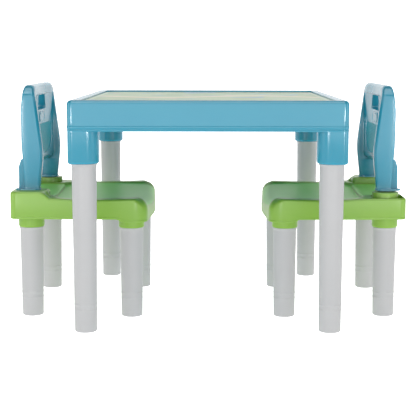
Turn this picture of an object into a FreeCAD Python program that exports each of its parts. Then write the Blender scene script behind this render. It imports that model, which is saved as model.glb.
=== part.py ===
import FreeCAD, Part
import math
import os

# A small child's table with two matching chairs, moulded in plastic.
# Millimetres.  X runs along the line of the two chairs, Y across the table's
# depth, Z up from the floor.  The origin is on the floor under the middle of
# the table top.  Every leg is a hollow peg that pushes up into a socket, and
# each backrest plugs down into the two raised pads at the rear of its seat.

# ---- whole set ---------------------------------------------------------------
table_width = 500.0            # along X
table_depth = 600.0            # along Y
table_height = 420.0
chair_place = 241.0            # middle of a chair from the middle of the table
chair_height = 442.0
seat_pad_height = 242.0        # the two raised pads that carry the backrest

# ---- shared leg and socket sizes ---------------------------------------------
spigot_diameter = 35.0         # the part of a leg that goes up into its socket
spigot_clearance = 0.2         # radial gap between spigot and socket bore
spigot_end_gap = 1.5           # air above a spigot
spigot_lead = 2.5              # chamfer that guides a spigot into its socket
leg_wall = 2.4
collar_height = 2.6
collar_proud = 0.7
ring_height = 3.0
ring_proud = 0.35
ring_pitch = 10.1
foot_round = 2.5

# ---- table -------------------------------------------------------------------
apron_height = 55.0
apron_wall = 3.6
table_skin = 3.2
edge_round = 7.0               # top outer edge of the table
corner_round = 10.0            # upright outer corners of the table
bead_height = 5.0
bead_rise = 4.0                # underside of the bead above the apron's lower edge
bead_proud = 0.6
rim_width = 20.0               # flat frame around the printed panel
tray_depth = 4.0               # panel surface below the rim
panel_thickness = 1.2
panel_gap = 0.4                # all round the printed panel
panel_corner = 8.0
table_socket_side = 55.0
table_socket_drop = 58.5       # socket below the apron
table_spigot_length = 50.0
table_socket_foot_round = 4.5
table_rib_depth = 18.0
table_rib_thickness = 2.4
table_rib_count_x = 6
table_rib_count_y = 7
table_leg_top = 45.0
table_leg_foot = 40.2
table_ring_height = 39.0       # underside of the lower ring

# ---- chair, in its own frame: +X towards its front -----------------------------
seat_rear = 135.5              # the chair's middle to its rear edge
seat_front = 134.0
seat_front_corner = 124.0
seat_rear_half = 164.0
seat_front_half = 170.0
seat_rear_corner_round = 14.0
seat_front_corner_round = 29.0
seat_front_bow_round = 900.0
seat_lip = 189.6               # lower edge of the sides
seat_front_lip = 183.7         # lower edge of the front corners
lip_step_rear = 69.0
lip_step_front = 78.0
seat_middle_top = 226.0
seat_front_top = 230.0
seat_front_roll = 24.0
rim_rise = -44.0               # where the side rim starts to climb to the rear
rim_rise_top = 229.5
rear_rim_top = 231.0
pad_front = -65.0
pad_inner_half = 103.0
pad_outer_round = 30.0
pad_inner_round = 8.0
pad_edge_round = 5.0
seat_wall = 3.0
dish_floor = 216.0
dish_half = 146.0
dish_rise = 10.0               # the dish's floor climbs this much at its sides
dish_rear = -122.0
shelf_front = -64.0             # the floor steps up to a shelf between the pads
shelf_rise = 6.0
dish_corner = 18.0
seat_rib_thickness = 2.2
seat_rib_lip_gap = 3.4         # ribs stop this far above the lower edge
seat_ribs_across = (-67.0, -2.0, 63.0)
seat_ribs_along = (-98.0, -33.0, 33.0, 98.0)

chair_leg_rear = 98.0
chair_leg_front = 94.3
chair_leg_rear_half = 135.4
chair_leg_front_half = 143.75
chair_leg_top = 44.5
chair_leg_foot = 40.3
chair_ring_height = 34.5
chair_socket_diameter = 49.5
chair_socket_drop = 17.1       # socket below the seat's lip
chair_spigot_length = 36.0
chair_socket_foot_round = 2.5

back_half = 138.0
back_corner_round = 24.0
back_wall = 3.0
post_width = 20.0
post_foot_front = -82.0
post_belly_front = -74.5
post_belly_height = 68.0       # belly above the pads
back_top_front = -91.0
back_top_rear = -110.0
back_top_front_round = 8.5
back_top_rear_round = 7.5
post_shoulder_rear = -115.5
post_shoulder_drop = 47.0
post_waist_rear = -115.0
post_waist_height = 88.0
post_foot_rear = -109.5
top_bar_height = 21.0
bar_face_side = -87.5
bar_face_middle = -94.0
panel_face_side = -89.0
panel_face_middle = -96.0
panel_lower_edge = 281.0
panel_lower_roll = 14.0
slot_top = 419.0
slot_height = 28.5
slot_top_half = 40.0
slot_bottom_half = 50.0
slot_corner = 5.0
slot_rim = 3.0
grip_top = 361.5               # the finely textured field starts below this
grip_half = 100.0
grip_bottom = 300.0
grip_depth = 0.8
grip_corner = 8.0
grip_lower_corner = 45.0
back_rib_thickness = 2.4
back_ribs_upright = (-72.0, -24.0, 24.0, 72.0)
fin_thickness = 3.4
fin_top = 301.0
fin_reach = -122.0
fin_inset = 7.5                # the fin stands inwards of the post's side
flange_thickness = 3.0
flange_rear = -128.0
flange_front = -80.0
flange_inner_half = 111.0
flange_outer_half = 141.0
flange_round = 13.0
tenon_rear = -116.0
tenon_front = -85.0
tenon_inner_half = 119.0
tenon_outer_half = 133.0
tenon_length = 26.0
tenon_clearance = 0.25
tenon_end_gap = 0.8
tenon_lead = 1.5

badge_height = 376.0           # middle of the plain oval badge
badge_long = 64.0
badge_short = 20.0
badge_thickness = 2.6
badge_seat_depth = 1.2
badge_gap = 0.25
badge_peg_diameter = 4.0
badge_peg_spacing = 36.0
badge_peg_clearance = 0.2
badge_peg_length = 5.5

tiny = 1.0                     # how far a cutter runs past a face


# ---- drawing helpers ----------------------------------------------------------
def vector(x, y, z):
    return FreeCAD.Vector(x, y, z)


def box(x0, x1, y0, y1, z0, z1):
    return Part.makeBox(x1 - x0, y1 - y0, z1 - z0, vector(x0, y0, z0))


def cylinder(diameter, x, y, z0, z1):
    return Part.makeCylinder(diameter / 2.0, z1 - z0, vector(x, y, z0), vector(0, 0, 1))


def outline(corners):
    """Closed wire in the XY plane through (u, v, radius) corners, each rounded by its own arc."""
    starts = []
    edges = []
    count = len(corners)
    for index in range(count):
        before = vector(*corners[index - 1][:2], 0)
        here = vector(*corners[index][:2], 0)
        after = vector(*corners[(index + 1) % count][:2], 0)
        radius = corners[index][2]
        to_before = (before - here).normalize()
        to_after = (after - here).normalize()
        half_angle = to_before.getAngle(to_after) / 2.0
        if radius == 0.0:
            starts.append((here, here, here))
            continue
        reach = radius / math.tan(half_angle)
        bisector = (to_before + to_after).normalize()
        middle = here + bisector * (radius / math.sin(half_angle) - radius)
        starts.append((here + to_before * reach, middle, here + to_after * reach))
    for index in range(count):
        begin, middle, end = starts[index]
        if (end - begin).Length > 1e-6:
            edges.append(Part.Arc(begin, middle, end).toShape())
        following = starts[(index + 1) % count][0]
        if (following - end).Length > 1e-6:
            edges.append(Part.LineSegment(end, following).toShape())
    return Part.Wire(edges)


def plan_prism(corners, z0, z1):
    """Corners are (x, y, radius); the prism stands from z0 to z1."""
    prism = Part.Face(outline(corners)).extrude(vector(0, 0, z1 - z0))
    prism.translate(vector(0, 0, z0))
    return prism


def side_prism(corners, y0, y1):
    """Corners are (x, z, radius); the prism runs along Y from y0 to y1."""
    prism = Part.Face(outline(corners)).extrude(vector(0, 0, y1 - y0))
    prism.rotate(vector(0, 0, 0), vector(1, 0, 0), 90)
    prism.translate(vector(0, y1, 0))
    return prism


def front_prism(corners, x0, x1):
    """Corners are (y, z, radius); the prism runs along X from x0 to x1."""
    prism = Part.Face(outline(corners)).extrude(vector(0, 0, x1 - x0))
    prism.rotate(vector(0, 0, 0), vector(1, 1, 1), 120)
    prism.translate(vector(x0, 0, 0))
    return prism


def rectangle(x0, x1, y0, y1, radius):
    return [(x0, y0, radius), (x1, y0, radius), (x1, y1, radius), (x0, y1, radius)]


def joined(first, *others):
    return first.fuse(list(others)).removeSplitter()


def arc_radius(half_chord, sagitta):
    return (half_chord ** 2 + sagitta ** 2) / (2.0 * sagitta)


def even_places(half_span, count):
    """Places of count ribs that part a span into equal bays."""
    bay = 2.0 * half_span / (count + 1)
    return [-half_span + bay * (index + 1) for index in range(count)]


def save(shape, name):
    solids = shape.Solids
    if len(solids) != 1 or not shape.isValid():
        print("LOOK AT", name, "solids", len(solids), "valid", shape.isValid())
    solids[0].exportStep(os.path.join("parts", name + ".step"))
    size = shape.BoundBox
    text = "%-34s %7.1f %7.1f %7.1f  volume %9.0f"
    print(text % (name, size.XLength, size.YLength, size.ZLength, shape.Volume))


# ---- legs ----------------------------------------------------------------------
def leg(height, top_diameter, foot_diameter, spigot_length, ring_base):
    """Tapered hollow leg standing on the floor at the origin, with its spigot on top."""
    def outer_radius(z):
        return (foot_diameter + (top_diameter - foot_diameter) * z / height) / 2.0

    body = Part.makeCone(outer_radius(0), outer_radius(height), height)
    foot_edge = [edge for edge in body.Edges if edge.BoundBox.ZMax < 1e-3]
    body = body.makeFillet(foot_round, foot_edge)
    spigot = Part.makeCylinder(spigot_diameter / 2.0, spigot_length, vector(0, 0, height))
    spigot_top = height + spigot_length
    lead_edge = [edge for edge in spigot.Edges if edge.BoundBox.ZMin > spigot_top - 1e-3]
    spigot = spigot.makeChamfer(spigot_lead, lead_edge)
    collar = cylinder(top_diameter + 2.0 * collar_proud, 0, 0, height - collar_height, height)
    rings = []
    for base in (ring_base, ring_base + ring_pitch):
        diameter = 2.0 * (outer_radius(base + ring_height) + ring_proud)
        ring = cylinder(diameter, 0, 0, base, base + ring_height)
        rings.append(ring.makeFillet(ring_proud * 0.6, ring.Edges[0:1] + ring.Edges[2:3]))
    body = joined(body, spigot, collar, *rings)

    bore_foot = outer_radius(0) - leg_wall
    bore_top = spigot_diameter / 2.0 - leg_wall
    lower_bore = Part.makeCone(bore_foot, bore_top, height - leg_wall, vector(0, 0, leg_wall))
    upper_bore = cylinder(2.0 * bore_top, 0, 0, height, spigot_top + tiny)
    return body.cut([lower_bore, upper_bore])


def placed(shape, x, y, z=0.0):
    moved = shape.copy()
    moved.translate(vector(x, y, z))
    return moved


# ---- table -----------------------------------------------------------------------
apron_foot = table_height - apron_height
half_width = table_width / 2.0 - bead_proud
half_depth = table_depth / 2.0 - bead_proud
table_leg_height = apron_foot - table_socket_drop
table_leg_x = half_width - table_socket_side / 2.0
table_leg_y = half_depth - table_socket_side / 2.0
tray_floor = table_height - tray_depth - panel_thickness
skin_underside = tray_floor - table_skin
tray_half_x = half_width - rim_width
tray_half_y = half_depth - rim_width


def table_socket(side_x, side_y):
    """A round column with one square corner, flush with both faces of the apron."""
    outer_x = side_x * half_width
    outer_y = side_y * half_depth
    inner_x = side_x * (half_width - table_socket_side)
    inner_y = side_y * (half_depth - table_socket_side)
    column_round = table_socket_side / 2.0 - 0.1
    corners = [
        (outer_x, outer_y, corner_round),
        (inner_x, outer_y, column_round),
        (inner_x, inner_y, column_round),
        (outer_x, inner_y, column_round),
    ]
    block = plan_prism(corners, table_leg_height, skin_underside + tiny)
    lower = [edge for edge in block.Edges if edge.BoundBox.ZMax < table_leg_height + 1e-3]
    return block.makeFillet(table_socket_foot_round, lower)


def table_top():
    body = plan_prism(rectangle(-half_width, half_width, -half_depth, half_depth, corner_round),
                      apron_foot, table_height)
    top_edges = [edge for edge in body.Edges if edge.BoundBox.ZMin > table_height - 1e-3]
    body = body.makeFillet(edge_round, top_edges)
    bead_foot = apron_foot + bead_rise
    bead = plan_prism(rectangle(-half_width - bead_proud, half_width + bead_proud,
                                -half_depth - bead_proud, half_depth + bead_proud,
                                corner_round + bead_proud), bead_foot, bead_foot + bead_height)
    hollow = plan_prism(rectangle(-half_width + apron_wall, half_width - apron_wall,
                                  -half_depth + apron_wall, half_depth - apron_wall,
                                  corner_round - apron_wall + 1.0),
                        apron_foot - tiny, skin_underside)
    tray = plan_prism(rectangle(-tray_half_x, tray_half_x, -tray_half_y, tray_half_y,
                                panel_corner), tray_floor, table_height + tiny)
    body = body.fuse(bead).cut([hollow, tray])

    ribs = []
    rib_foot = skin_underside - table_rib_depth
    half_rib = table_rib_thickness / 2.0
    for x in even_places(half_width - apron_wall, table_rib_count_x):
        ribs.append(box(x - half_rib, x + half_rib, -half_depth + apron_wall - tiny,
                        half_depth - apron_wall + tiny, rib_foot, skin_underside + tiny))
    for y in even_places(half_depth - apron_wall, table_rib_count_y):
        ribs.append(box(-half_width + apron_wall - tiny, half_width - apron_wall + tiny,
                        y - half_rib, y + half_rib, rib_foot, skin_underside + tiny))
    sockets = [table_socket(sx, sy) for sx in (-1, 1) for sy in (-1, 1)]
    body = joined(body, *ribs, *sockets)
    bores = []
    bore_top = table_leg_height + table_spigot_length + spigot_end_gap
    for sx in (-1, 1):
        for sy in (-1, 1):
            bores.append(cylinder(spigot_diameter + 2.0 * spigot_clearance, sx * table_leg_x,
                                  sy * table_leg_y, table_leg_height - tiny, bore_top))
    return body.cut(bores)


def print_panel():
    return plan_prism(rectangle(-tray_half_x + panel_gap, tray_half_x - panel_gap,
                                -tray_half_y + panel_gap, tray_half_y - panel_gap,
                                panel_corner - panel_gap),
                      tray_floor, tray_floor + panel_thickness)


# ---- seat -----------------------------------------------------------------------
chair_leg_height = seat_lip - chair_socket_drop
chair_bore_top = chair_leg_height + chair_spigot_length + spigot_end_gap
chair_leg_places = (
    ("front_left", chair_leg_front, chair_leg_front_half),
    ("front_right", chair_leg_front, -chair_leg_front_half),
    ("rear_left", -chair_leg_rear, chair_leg_rear_half),
    ("rear_right", -chair_leg_rear, -chair_leg_rear_half),
)
dish_radius = arc_radius(dish_half, dish_rise)


def seat_plan(inset):
    """Plan of the seat, narrower at the rear and bowed at the front, drawn in by inset."""
    front = seat_front - inset
    front_corner = seat_front_corner - inset
    rear = -seat_rear + inset
    rear_half = seat_rear_half - inset
    front_half = seat_front_half - inset
    rear_round = seat_rear_corner_round - inset
    front_round = seat_front_corner_round - inset
    return [
        (rear, -rear_half, rear_round),
        (front_corner, -front_half, front_round),
        (front, 0.0, seat_front_bow_round),
        (front_corner, front_half, front_round),
        (rear, rear_half, rear_round),
    ]


def seat_block():
    side = [
        (-seat_rear - tiny, seat_lip, 0.0),
        (lip_step_rear, seat_lip, 4.0),
        (lip_step_front, seat_front_lip, 4.0),
        (seat_front + tiny, seat_front_lip, 0.0),
        (seat_front + tiny, seat_front_top, seat_front_roll),
        (0.0, seat_middle_top, 300.0),
        (rim_rise, rim_rise_top, 20.0),
        (-seat_rear - tiny, rear_rim_top, 0.0),
    ]
    reach = seat_front_half + tiny
    block = plan_prism(seat_plan(0.0), seat_front_lip, seat_pad_height)
    return block.common(side_prism(side, -reach, reach))


def pad(inset, z0, z1):
    """The left rear pad, drawn in by inset; its front outer corner is widely rounded."""
    lean = (seat_front_half - seat_rear_half) / (seat_front_corner + seat_rear)
    front_half = seat_rear_half + lean * (pad_front + seat_rear)
    return plan_prism([
        (-seat_rear + inset, pad_inner_half + inset, pad_inner_round - inset),
        (pad_front - inset, pad_inner_half + inset, pad_inner_round - inset),
        (pad_front - inset, front_half - inset, pad_outer_round - inset),
        (-seat_rear + inset, seat_rear_half - inset, seat_rear_corner_round - inset),
    ], z0, z1)


def dish_bowl(radius, top, step):
    """What lies above a floor that is curved across the seat and steps up to its shelf."""
    zones = []
    for x0, x1, rise in ((-seat_rear - tiny, step, shelf_rise),
                         (step, seat_front + 2.0 * tiny, 0.0)):
        round_bar = Part.makeCylinder(radius, x1 - x0,
                                      vector(x0, 0, dish_floor + dish_radius + rise),
                                      vector(1, 0, 0))
        slab = box(x0, x1, -seat_front_half, seat_front_half, seat_front_lip, top)
        zones.append(slab.common(round_bar))
    return zones[0].fuse(zones[1])


def dish_cutter():
    plan = [
        (dish_rear, -pad_inner_half, dish_corner),
        (pad_front, -pad_inner_half, 12.0),
        (rim_rise, -dish_half, 12.0),
        (seat_front + 2.0 * tiny, -dish_half, 0.0),
        (seat_front + 2.0 * tiny, dish_half, 0.0),
        (rim_rise, dish_half, 12.0),
        (pad_front, pad_inner_half, 12.0),
        (dish_rear, pad_inner_half, dish_corner),
    ]
    column = plan_prism(plan, dish_floor - tiny, seat_pad_height + tiny)
    return column.common(dish_bowl(dish_radius, seat_pad_height + tiny, shelf_front))


def tenon_box(grow, depth):
    """One tenon, or with grow its pocket, below the top of the left pad."""
    return box(tenon_rear - grow, tenon_front + grow, tenon_inner_half - grow,
               tenon_outer_half + grow, seat_pad_height - depth, seat_pad_height)


def mirrored_y(shape):
    return shape.mirror(vector(0, 0, 0), vector(0, 1, 0))


def seat():
    reach = seat_front_half + tiny
    left_pad = pad(0.0, seat_middle_top - seat_wall, seat_pad_height)
    upper = [edge for edge in left_pad.Edges if edge.BoundBox.ZMin > seat_pad_height - 1e-3]
    left_pad = left_pad.makeFillet(pad_edge_round, upper)
    body = seat_block().fuse([left_pad, mirrored_y(left_pad)]).cut(dish_cutter())

    under = seat_middle_top - seat_wall
    inner = plan_prism(seat_plan(seat_wall), seat_front_lip - tiny, under)
    front_roll = [
        (-seat_rear, seat_front_lip - tiny, 0.0),
        (seat_front - seat_wall, seat_front_lip - tiny, 0.0),
        (seat_front - seat_wall, under + seat_wall, seat_front_roll),
        (-seat_rear, under + seat_wall, 0.0),
    ]
    inner = inner.common(side_prism(front_roll, -reach, reach))
    inner = inner.cut(dish_bowl(dish_radius + seat_wall, under + tiny,
                                shelf_front - seat_wall))
    left_hollow = pad(seat_wall, under - tiny, seat_pad_height - seat_wall)
    pad_hollow = left_hollow.fuse(mirrored_y(left_hollow))
    body = body.cut([inner, pad_hollow])

    ribs = []
    half_rib = seat_rib_thickness / 2.0
    rib_foot = seat_lip + seat_rib_lip_gap
    for x in seat_ribs_across:
        ribs.append(box(x - half_rib, x + half_rib, -reach, reach, rib_foot, seat_pad_height))
    for y in seat_ribs_along:
        ribs.append(box(-seat_rear, seat_front, y - half_rib, y + half_rib, rib_foot,
                        seat_pad_height))
    cavity = inner.fuse(pad_hollow)
    body = body.fuse([rib.common(cavity) for rib in ribs])

    bosses = []
    for name, x, y in chair_leg_places:
        top = seat_pad_height if x < 0 else under + tiny
        socket = cylinder(chair_socket_diameter, x, y, chair_leg_height, top)
        lower = cylinder(chair_socket_diameter, x, y, chair_leg_height, seat_lip + tiny)
        foot_edge = [edge for edge in lower.Edges if edge.BoundBox.ZMax < chair_leg_height + 1e-3]
        lower = lower.makeFillet(chair_socket_foot_round, foot_edge)
        bosses.append(lower)
        bosses.append(socket.common(cavity))
    tenon_boss = tenon_box(tenon_clearance + seat_wall, tenon_length + tenon_end_gap + seat_wall)
    for boss in (tenon_boss, mirrored_y(tenon_boss)):
        bosses.append(boss.common(cavity))
    body = joined(body, *bosses)

    bores = []
    for name, x, y in chair_leg_places:
        bores.append(cylinder(spigot_diameter + 2.0 * spigot_clearance, x, y,
                              chair_leg_height - tiny, chair_bore_top))
    pocket = tenon_box(tenon_clearance, tenon_length + tenon_end_gap)
    pocket = pocket.fuse(placed(pocket, 0, 0, tiny))
    bores.append(pocket)
    bores.append(mirrored_y(pocket))
    return body.cut(bores)


# ---- backrest --------------------------------------------------------------------
panel_edge_half = back_half - post_width
panel_radius = arc_radius(panel_edge_half, panel_face_side - panel_face_middle)
bar_radius = arc_radius(panel_edge_half, bar_face_side - bar_face_middle)
bar_foot = chair_height - top_bar_height


def back_side_profile(shift=0.0):
    """Leaning side view of the posts, bellied towards the sitter."""
    points = [
        (post_foot_front, seat_pad_height, 0.0),
        (post_belly_front, seat_pad_height + post_belly_height, 150.0),
        (back_top_front, chair_height, back_top_front_round),
        (back_top_rear, chair_height, back_top_rear_round),
        (post_shoulder_rear, chair_height - post_shoulder_drop, 80.0),
        (post_waist_rear, seat_pad_height + post_waist_height, 200.0),
        (post_foot_rear, seat_pad_height, 0.0),
    ]
    return [(x + shift, z, radius) for x, z, radius in points]


def hollow_face(face_middle, radius, depth=0.0):
    """What lies in front of a surface, depth behind a face hollowed across the back."""
    return Part.makeCylinder(radius + depth, chair_height + 2.0 * tiny,
                             vector(face_middle + radius, 0, -tiny))


def lap(half, z0, z1):
    return box(post_waist_rear - 40.0, post_belly_front + 40.0, -half, half, z0, z1)


def roll_cutter(grow):
    """Rounds the panel's lower edge backwards, along the hollow of its face."""
    axis_x = panel_face_middle + panel_radius
    ring_radius = panel_radius + panel_lower_roll
    ring = Part.makeCylinder(ring_radius, panel_lower_roll + tiny,
                             vector(axis_x, 0, panel_lower_edge - tiny))
    edge_bead = Part.makeTorus(ring_radius, panel_lower_roll - grow,
                               vector(axis_x, 0, panel_lower_edge + panel_lower_roll))
    zone = lap(panel_edge_half, panel_lower_edge - tiny, panel_lower_edge + panel_lower_roll)
    return zone.common(ring).cut(edge_bead)


def slot_shape(grow, x0, x1):
    bottom = slot_top - slot_height
    corners = [
        (-slot_bottom_half - grow, bottom - grow, slot_corner + grow),
        (slot_bottom_half + grow, bottom - grow, slot_corner + grow),
        (slot_top_half + grow, slot_top + grow, slot_corner + grow),
        (-slot_top_half - grow, slot_top + grow, slot_corner + grow),
    ]
    return front_prism(corners, x0, x1)


def badge_shape(grow, x0, x1):
    radius = badge_short / 2.0 + grow
    half = badge_long / 2.0 + grow
    corners = [
        (-half, badge_height - radius, radius - 0.01),
        (half, badge_height - radius, radius - 0.01),
        (half, badge_height + radius, radius - 0.01),
        (-half, badge_height + radius, radius - 0.01),
    ]
    return front_prism(corners, x0, x1)


def badge_pegs(grow, x0, x1):
    pegs = []
    for y in (-badge_peg_spacing / 2.0, badge_peg_spacing / 2.0):
        pegs.append(Part.makeCylinder(badge_peg_diameter / 2.0 + grow, x1 - x0,
                                      vector(x0, y, badge_height), vector(1, 0, 0)))
    return pegs


def back_pockets():
    """Hollows in the rear of the moulding, parted by its ribs."""
    rear = flange_rear - 10.0
    edge = panel_edge_half
    behind_panel = lap(edge, panel_lower_edge, bar_foot).cut([
        hollow_face(panel_face_middle, panel_radius, back_wall),
        roll_cutter(back_wall)])
    behind_bar = lap(edge, bar_foot, chair_height).cut(
        hollow_face(bar_face_middle, bar_radius, back_wall))
    profile = side_prism(back_side_profile(-back_wall), -back_half, back_half)

    half_rib = back_rib_thickness / 2.0
    walls = [-edge] + list(back_ribs_upright) + [edge]
    slot_foot = slot_top - slot_height - slot_rim
    pockets = []
    for left, right in zip(walls[:-1], walls[1:]):
        y0 = left + half_rib
        y1 = right - half_rib
        middle_z = (panel_lower_edge + slot_foot) / 2.0
        field = [(panel_lower_edge + back_wall, middle_z - half_rib),
                 (middle_z + half_rib, slot_foot)]
        for z0, z1 in field:
            pockets.append(box(rear, post_belly_front, y0, y1, z0, z1).common(behind_panel))
        slot_side = box(rear, post_belly_front, y0, y1, slot_foot + back_rib_thickness,
                        bar_foot - back_wall)
        slot_side = slot_side.cut(slot_shape(slot_rim, rear, post_belly_front))
        pockets.append(slot_side.common(behind_panel))
        bar_cell = box(rear, post_belly_front, y0, y1, bar_foot, chair_height - back_wall)
        pockets.append(bar_cell.common(behind_bar).common(profile))
    post_outline = [
        (edge + half_rib, seat_pad_height + back_wall + flange_thickness, 2.0),
        (back_half - back_wall, seat_pad_height + back_wall + flange_thickness, 2.0),
        (back_half - back_wall, chair_height - back_wall, back_corner_round - back_wall),
        (edge - 6.0, chair_height - back_wall, 0.5),
        (edge - 6.0, bar_foot, 0.5),
        (edge + half_rib, bar_foot - 6.0, 0.5),
    ]
    post_cell = front_prism(post_outline, rear, post_belly_front).common(profile)
    pockets.append(post_cell)
    pockets.append(mirrored_y(post_cell))
    return [pocket for pocket in pockets if pocket.Volume > 1.0]


def rear_fin():
    """A web inside the post that shows as a rounded fin behind it."""
    buried = back_wall / 2.0
    corners = [
        (post_belly_front - buried - 1.5, fin_top, 0.0),
        (fin_reach + 5.0, fin_top, 3.0),
        (fin_reach + 0.3, fin_top - 14.0, 14.0),
        (fin_reach, seat_pad_height, 0.0),
        (post_foot_front - buried, seat_pad_height, 0.0),
    ]
    outer = back_half - fin_inset
    return side_prism(corners, outer - fin_thickness, outer)


def backrest():
    front_outline = [
        (-back_half, seat_pad_height, 0.0),
        (back_half, seat_pad_height, 0.0),
        (back_half, chair_height, back_corner_round),
        (-back_half, chair_height, back_corner_round),
    ]
    profile = side_prism(back_side_profile(), -back_half, back_half)
    body = profile.common(front_prism(front_outline, flange_rear, post_belly_front + tiny))
    edge = panel_edge_half
    panel_cut = lap(edge, panel_lower_edge - tiny, bar_foot).common(
        hollow_face(panel_face_middle, panel_radius))
    bar_cut = lap(edge, bar_foot, chair_height + tiny).common(
        hollow_face(bar_face_middle, bar_radius))
    opening = front_prism([
        (-edge, seat_pad_height - tiny, 0.0), (edge, seat_pad_height - tiny, 0.0),
        (edge, panel_lower_edge, 6.0), (-edge, panel_lower_edge, 6.0),
    ], flange_rear - tiny, post_belly_front + tiny)
    grip = front_prism([
        (-grip_half, grip_top, grip_corner), (-grip_half, grip_bottom, grip_lower_corner),
        (grip_half, grip_bottom, grip_lower_corner), (grip_half, grip_top, grip_corner),
    ], post_waist_rear, post_belly_front)
    grip = grip.common(hollow_face(panel_face_middle, panel_radius, grip_depth))
    slot = slot_shape(0.0, flange_rear - tiny, post_belly_front + tiny)
    body = body.cut([panel_cut, bar_cut, opening, roll_cutter(0.0), grip, slot])
    body = body.cut(back_pockets())

    badge_seat = badge_shape(badge_gap, panel_face_middle - badge_seat_depth, post_belly_front)
    peg_holes = badge_pegs(badge_peg_clearance, post_waist_rear, post_belly_front)
    body = body.cut([badge_seat] + peg_holes)

    flange = plan_prism(rectangle(flange_rear, flange_front, flange_inner_half,
                                  flange_outer_half, flange_round),
                        seat_pad_height, seat_pad_height + flange_thickness)
    tenon = tenon_box(0.0, tenon_length)
    lead_edges = [edge_ for edge_ in tenon.Edges
                  if edge_.BoundBox.ZMax < seat_pad_height - tenon_length + 1e-3]
    tenon = tenon.makeChamfer(tenon_lead, lead_edges)
    extras = []
    for piece in (flange, tenon, rear_fin()):
        extras.append(piece)
        extras.append(mirrored_y(piece))
    return joined(body, *extras)


def badge():
    seat_x = panel_face_middle - badge_seat_depth
    plate = badge_shape(0.0, seat_x, seat_x + badge_thickness)
    front_edges = [edge for edge in plate.Edges if edge.BoundBox.XMin > seat_x + badge_thickness - 1e-3]
    plate = plate.makeFillet(0.9, front_edges)
    return joined(plate, *badge_pegs(0.0, seat_x - badge_peg_length, seat_x + tiny))


# ---- the whole set -----------------------------------------------------------------
def chair_pieces():
    pieces = [("seat", seat()), ("backrest", backrest()), ("badge", badge())]
    one_leg = leg(chair_leg_height, chair_leg_top, chair_leg_foot, chair_spigot_length,
                  chair_ring_height)
    for name, x, y in chair_leg_places:
        pieces.append(("leg_" + name, placed(one_leg, x, y)))
    return pieces


os.makedirs("parts", exist_ok=True)

save(table_top(), "table_top")
save(print_panel(), "table_print_panel")
table_leg = leg(table_leg_height, table_leg_top, table_leg_foot, table_spigot_length,
                table_ring_height)
for depth_name, side_y in (("front", -1), ("rear", 1)):
    for side_name, side_x in (("left", -1), ("right", 1)):
        save(placed(table_leg, side_x * table_leg_x, side_y * table_leg_y),
             "table_leg_" + depth_name + "_" + side_name)

one_chair = chair_pieces()
for chair_name, turn, place in (("left_chair", 0.0, -chair_place),
                                ("right_chair", 180.0, chair_place)):
    for piece_name, piece in one_chair:
        turned = piece.copy()
        turned.rotate(vector(0, 0, 0), vector(0, 0, 1), turn)
        save(placed(turned, place, 0.0), chair_name + "_" + piece_name)
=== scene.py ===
import math
import bmesh
import bpy
import numpy as np
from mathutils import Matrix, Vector
from mathutils.geometry import delaunay_2d_cdt


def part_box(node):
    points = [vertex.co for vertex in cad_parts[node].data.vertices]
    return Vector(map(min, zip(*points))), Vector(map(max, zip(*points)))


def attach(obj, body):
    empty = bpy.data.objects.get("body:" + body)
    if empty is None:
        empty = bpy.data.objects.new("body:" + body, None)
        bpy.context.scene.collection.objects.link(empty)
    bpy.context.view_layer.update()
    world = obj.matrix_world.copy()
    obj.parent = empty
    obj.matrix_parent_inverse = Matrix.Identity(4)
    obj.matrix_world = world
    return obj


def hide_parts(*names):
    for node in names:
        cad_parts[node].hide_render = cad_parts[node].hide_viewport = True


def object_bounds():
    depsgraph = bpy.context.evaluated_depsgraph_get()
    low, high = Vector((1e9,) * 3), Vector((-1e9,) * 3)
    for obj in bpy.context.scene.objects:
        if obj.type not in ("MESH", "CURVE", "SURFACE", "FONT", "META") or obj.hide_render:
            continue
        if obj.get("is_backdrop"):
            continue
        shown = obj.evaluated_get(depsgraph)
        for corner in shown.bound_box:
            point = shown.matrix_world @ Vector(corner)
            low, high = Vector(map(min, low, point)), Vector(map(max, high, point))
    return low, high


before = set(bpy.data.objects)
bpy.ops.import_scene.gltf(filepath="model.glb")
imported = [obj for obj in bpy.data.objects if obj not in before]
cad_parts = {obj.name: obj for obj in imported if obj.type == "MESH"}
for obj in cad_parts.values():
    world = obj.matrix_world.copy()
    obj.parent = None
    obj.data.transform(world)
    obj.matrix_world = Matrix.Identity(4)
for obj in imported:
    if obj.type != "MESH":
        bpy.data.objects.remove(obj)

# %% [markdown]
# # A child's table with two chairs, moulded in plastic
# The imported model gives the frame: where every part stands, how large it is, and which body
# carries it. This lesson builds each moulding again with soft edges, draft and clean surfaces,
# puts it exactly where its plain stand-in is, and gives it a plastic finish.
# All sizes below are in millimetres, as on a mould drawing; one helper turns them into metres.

frame_box = [list(corner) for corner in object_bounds()]
print("frame box in metres", frame_box)

# %% [markdown]
# ## Outlines
# Every moulding here starts as an outline: corners, each with its own radius, and a run of points
# round them. The same corners always give the same number of points at any inset, so two insets
# of one outline can be joined by plain four-sided faces. That is what makes a soft edge: several
# outlines, each a little further in and a little higher.

# %% Rounded outlines that keep their point count
TURN = math.radians(11.0)
STEP = 9.0
UNBROKEN = 1e4                 # a step so long that straight sides stay in one piece


def lines_offset(corners, inset):
    """Corner points of a closed outline with every side moved inwards."""
    points = np.array([corner[:2] for corner in corners], float)
    count = len(points)
    moved = []
    for i in range(count):
        before, here, after = points[i - 1], points[i], points[(i + 1) % count]
        a = (here - before) / np.linalg.norm(here - before)
        b = (after - here) / np.linalg.norm(after - here)
        normal_a = np.array([-a[1], a[0]])
        normal_b = np.array([-b[1], b[0]])
        spread = 1.0 + normal_a @ normal_b
        moved.append(here + (normal_a + normal_b) * inset / max(spread, 0.2))
    return np.array(moved)


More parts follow.
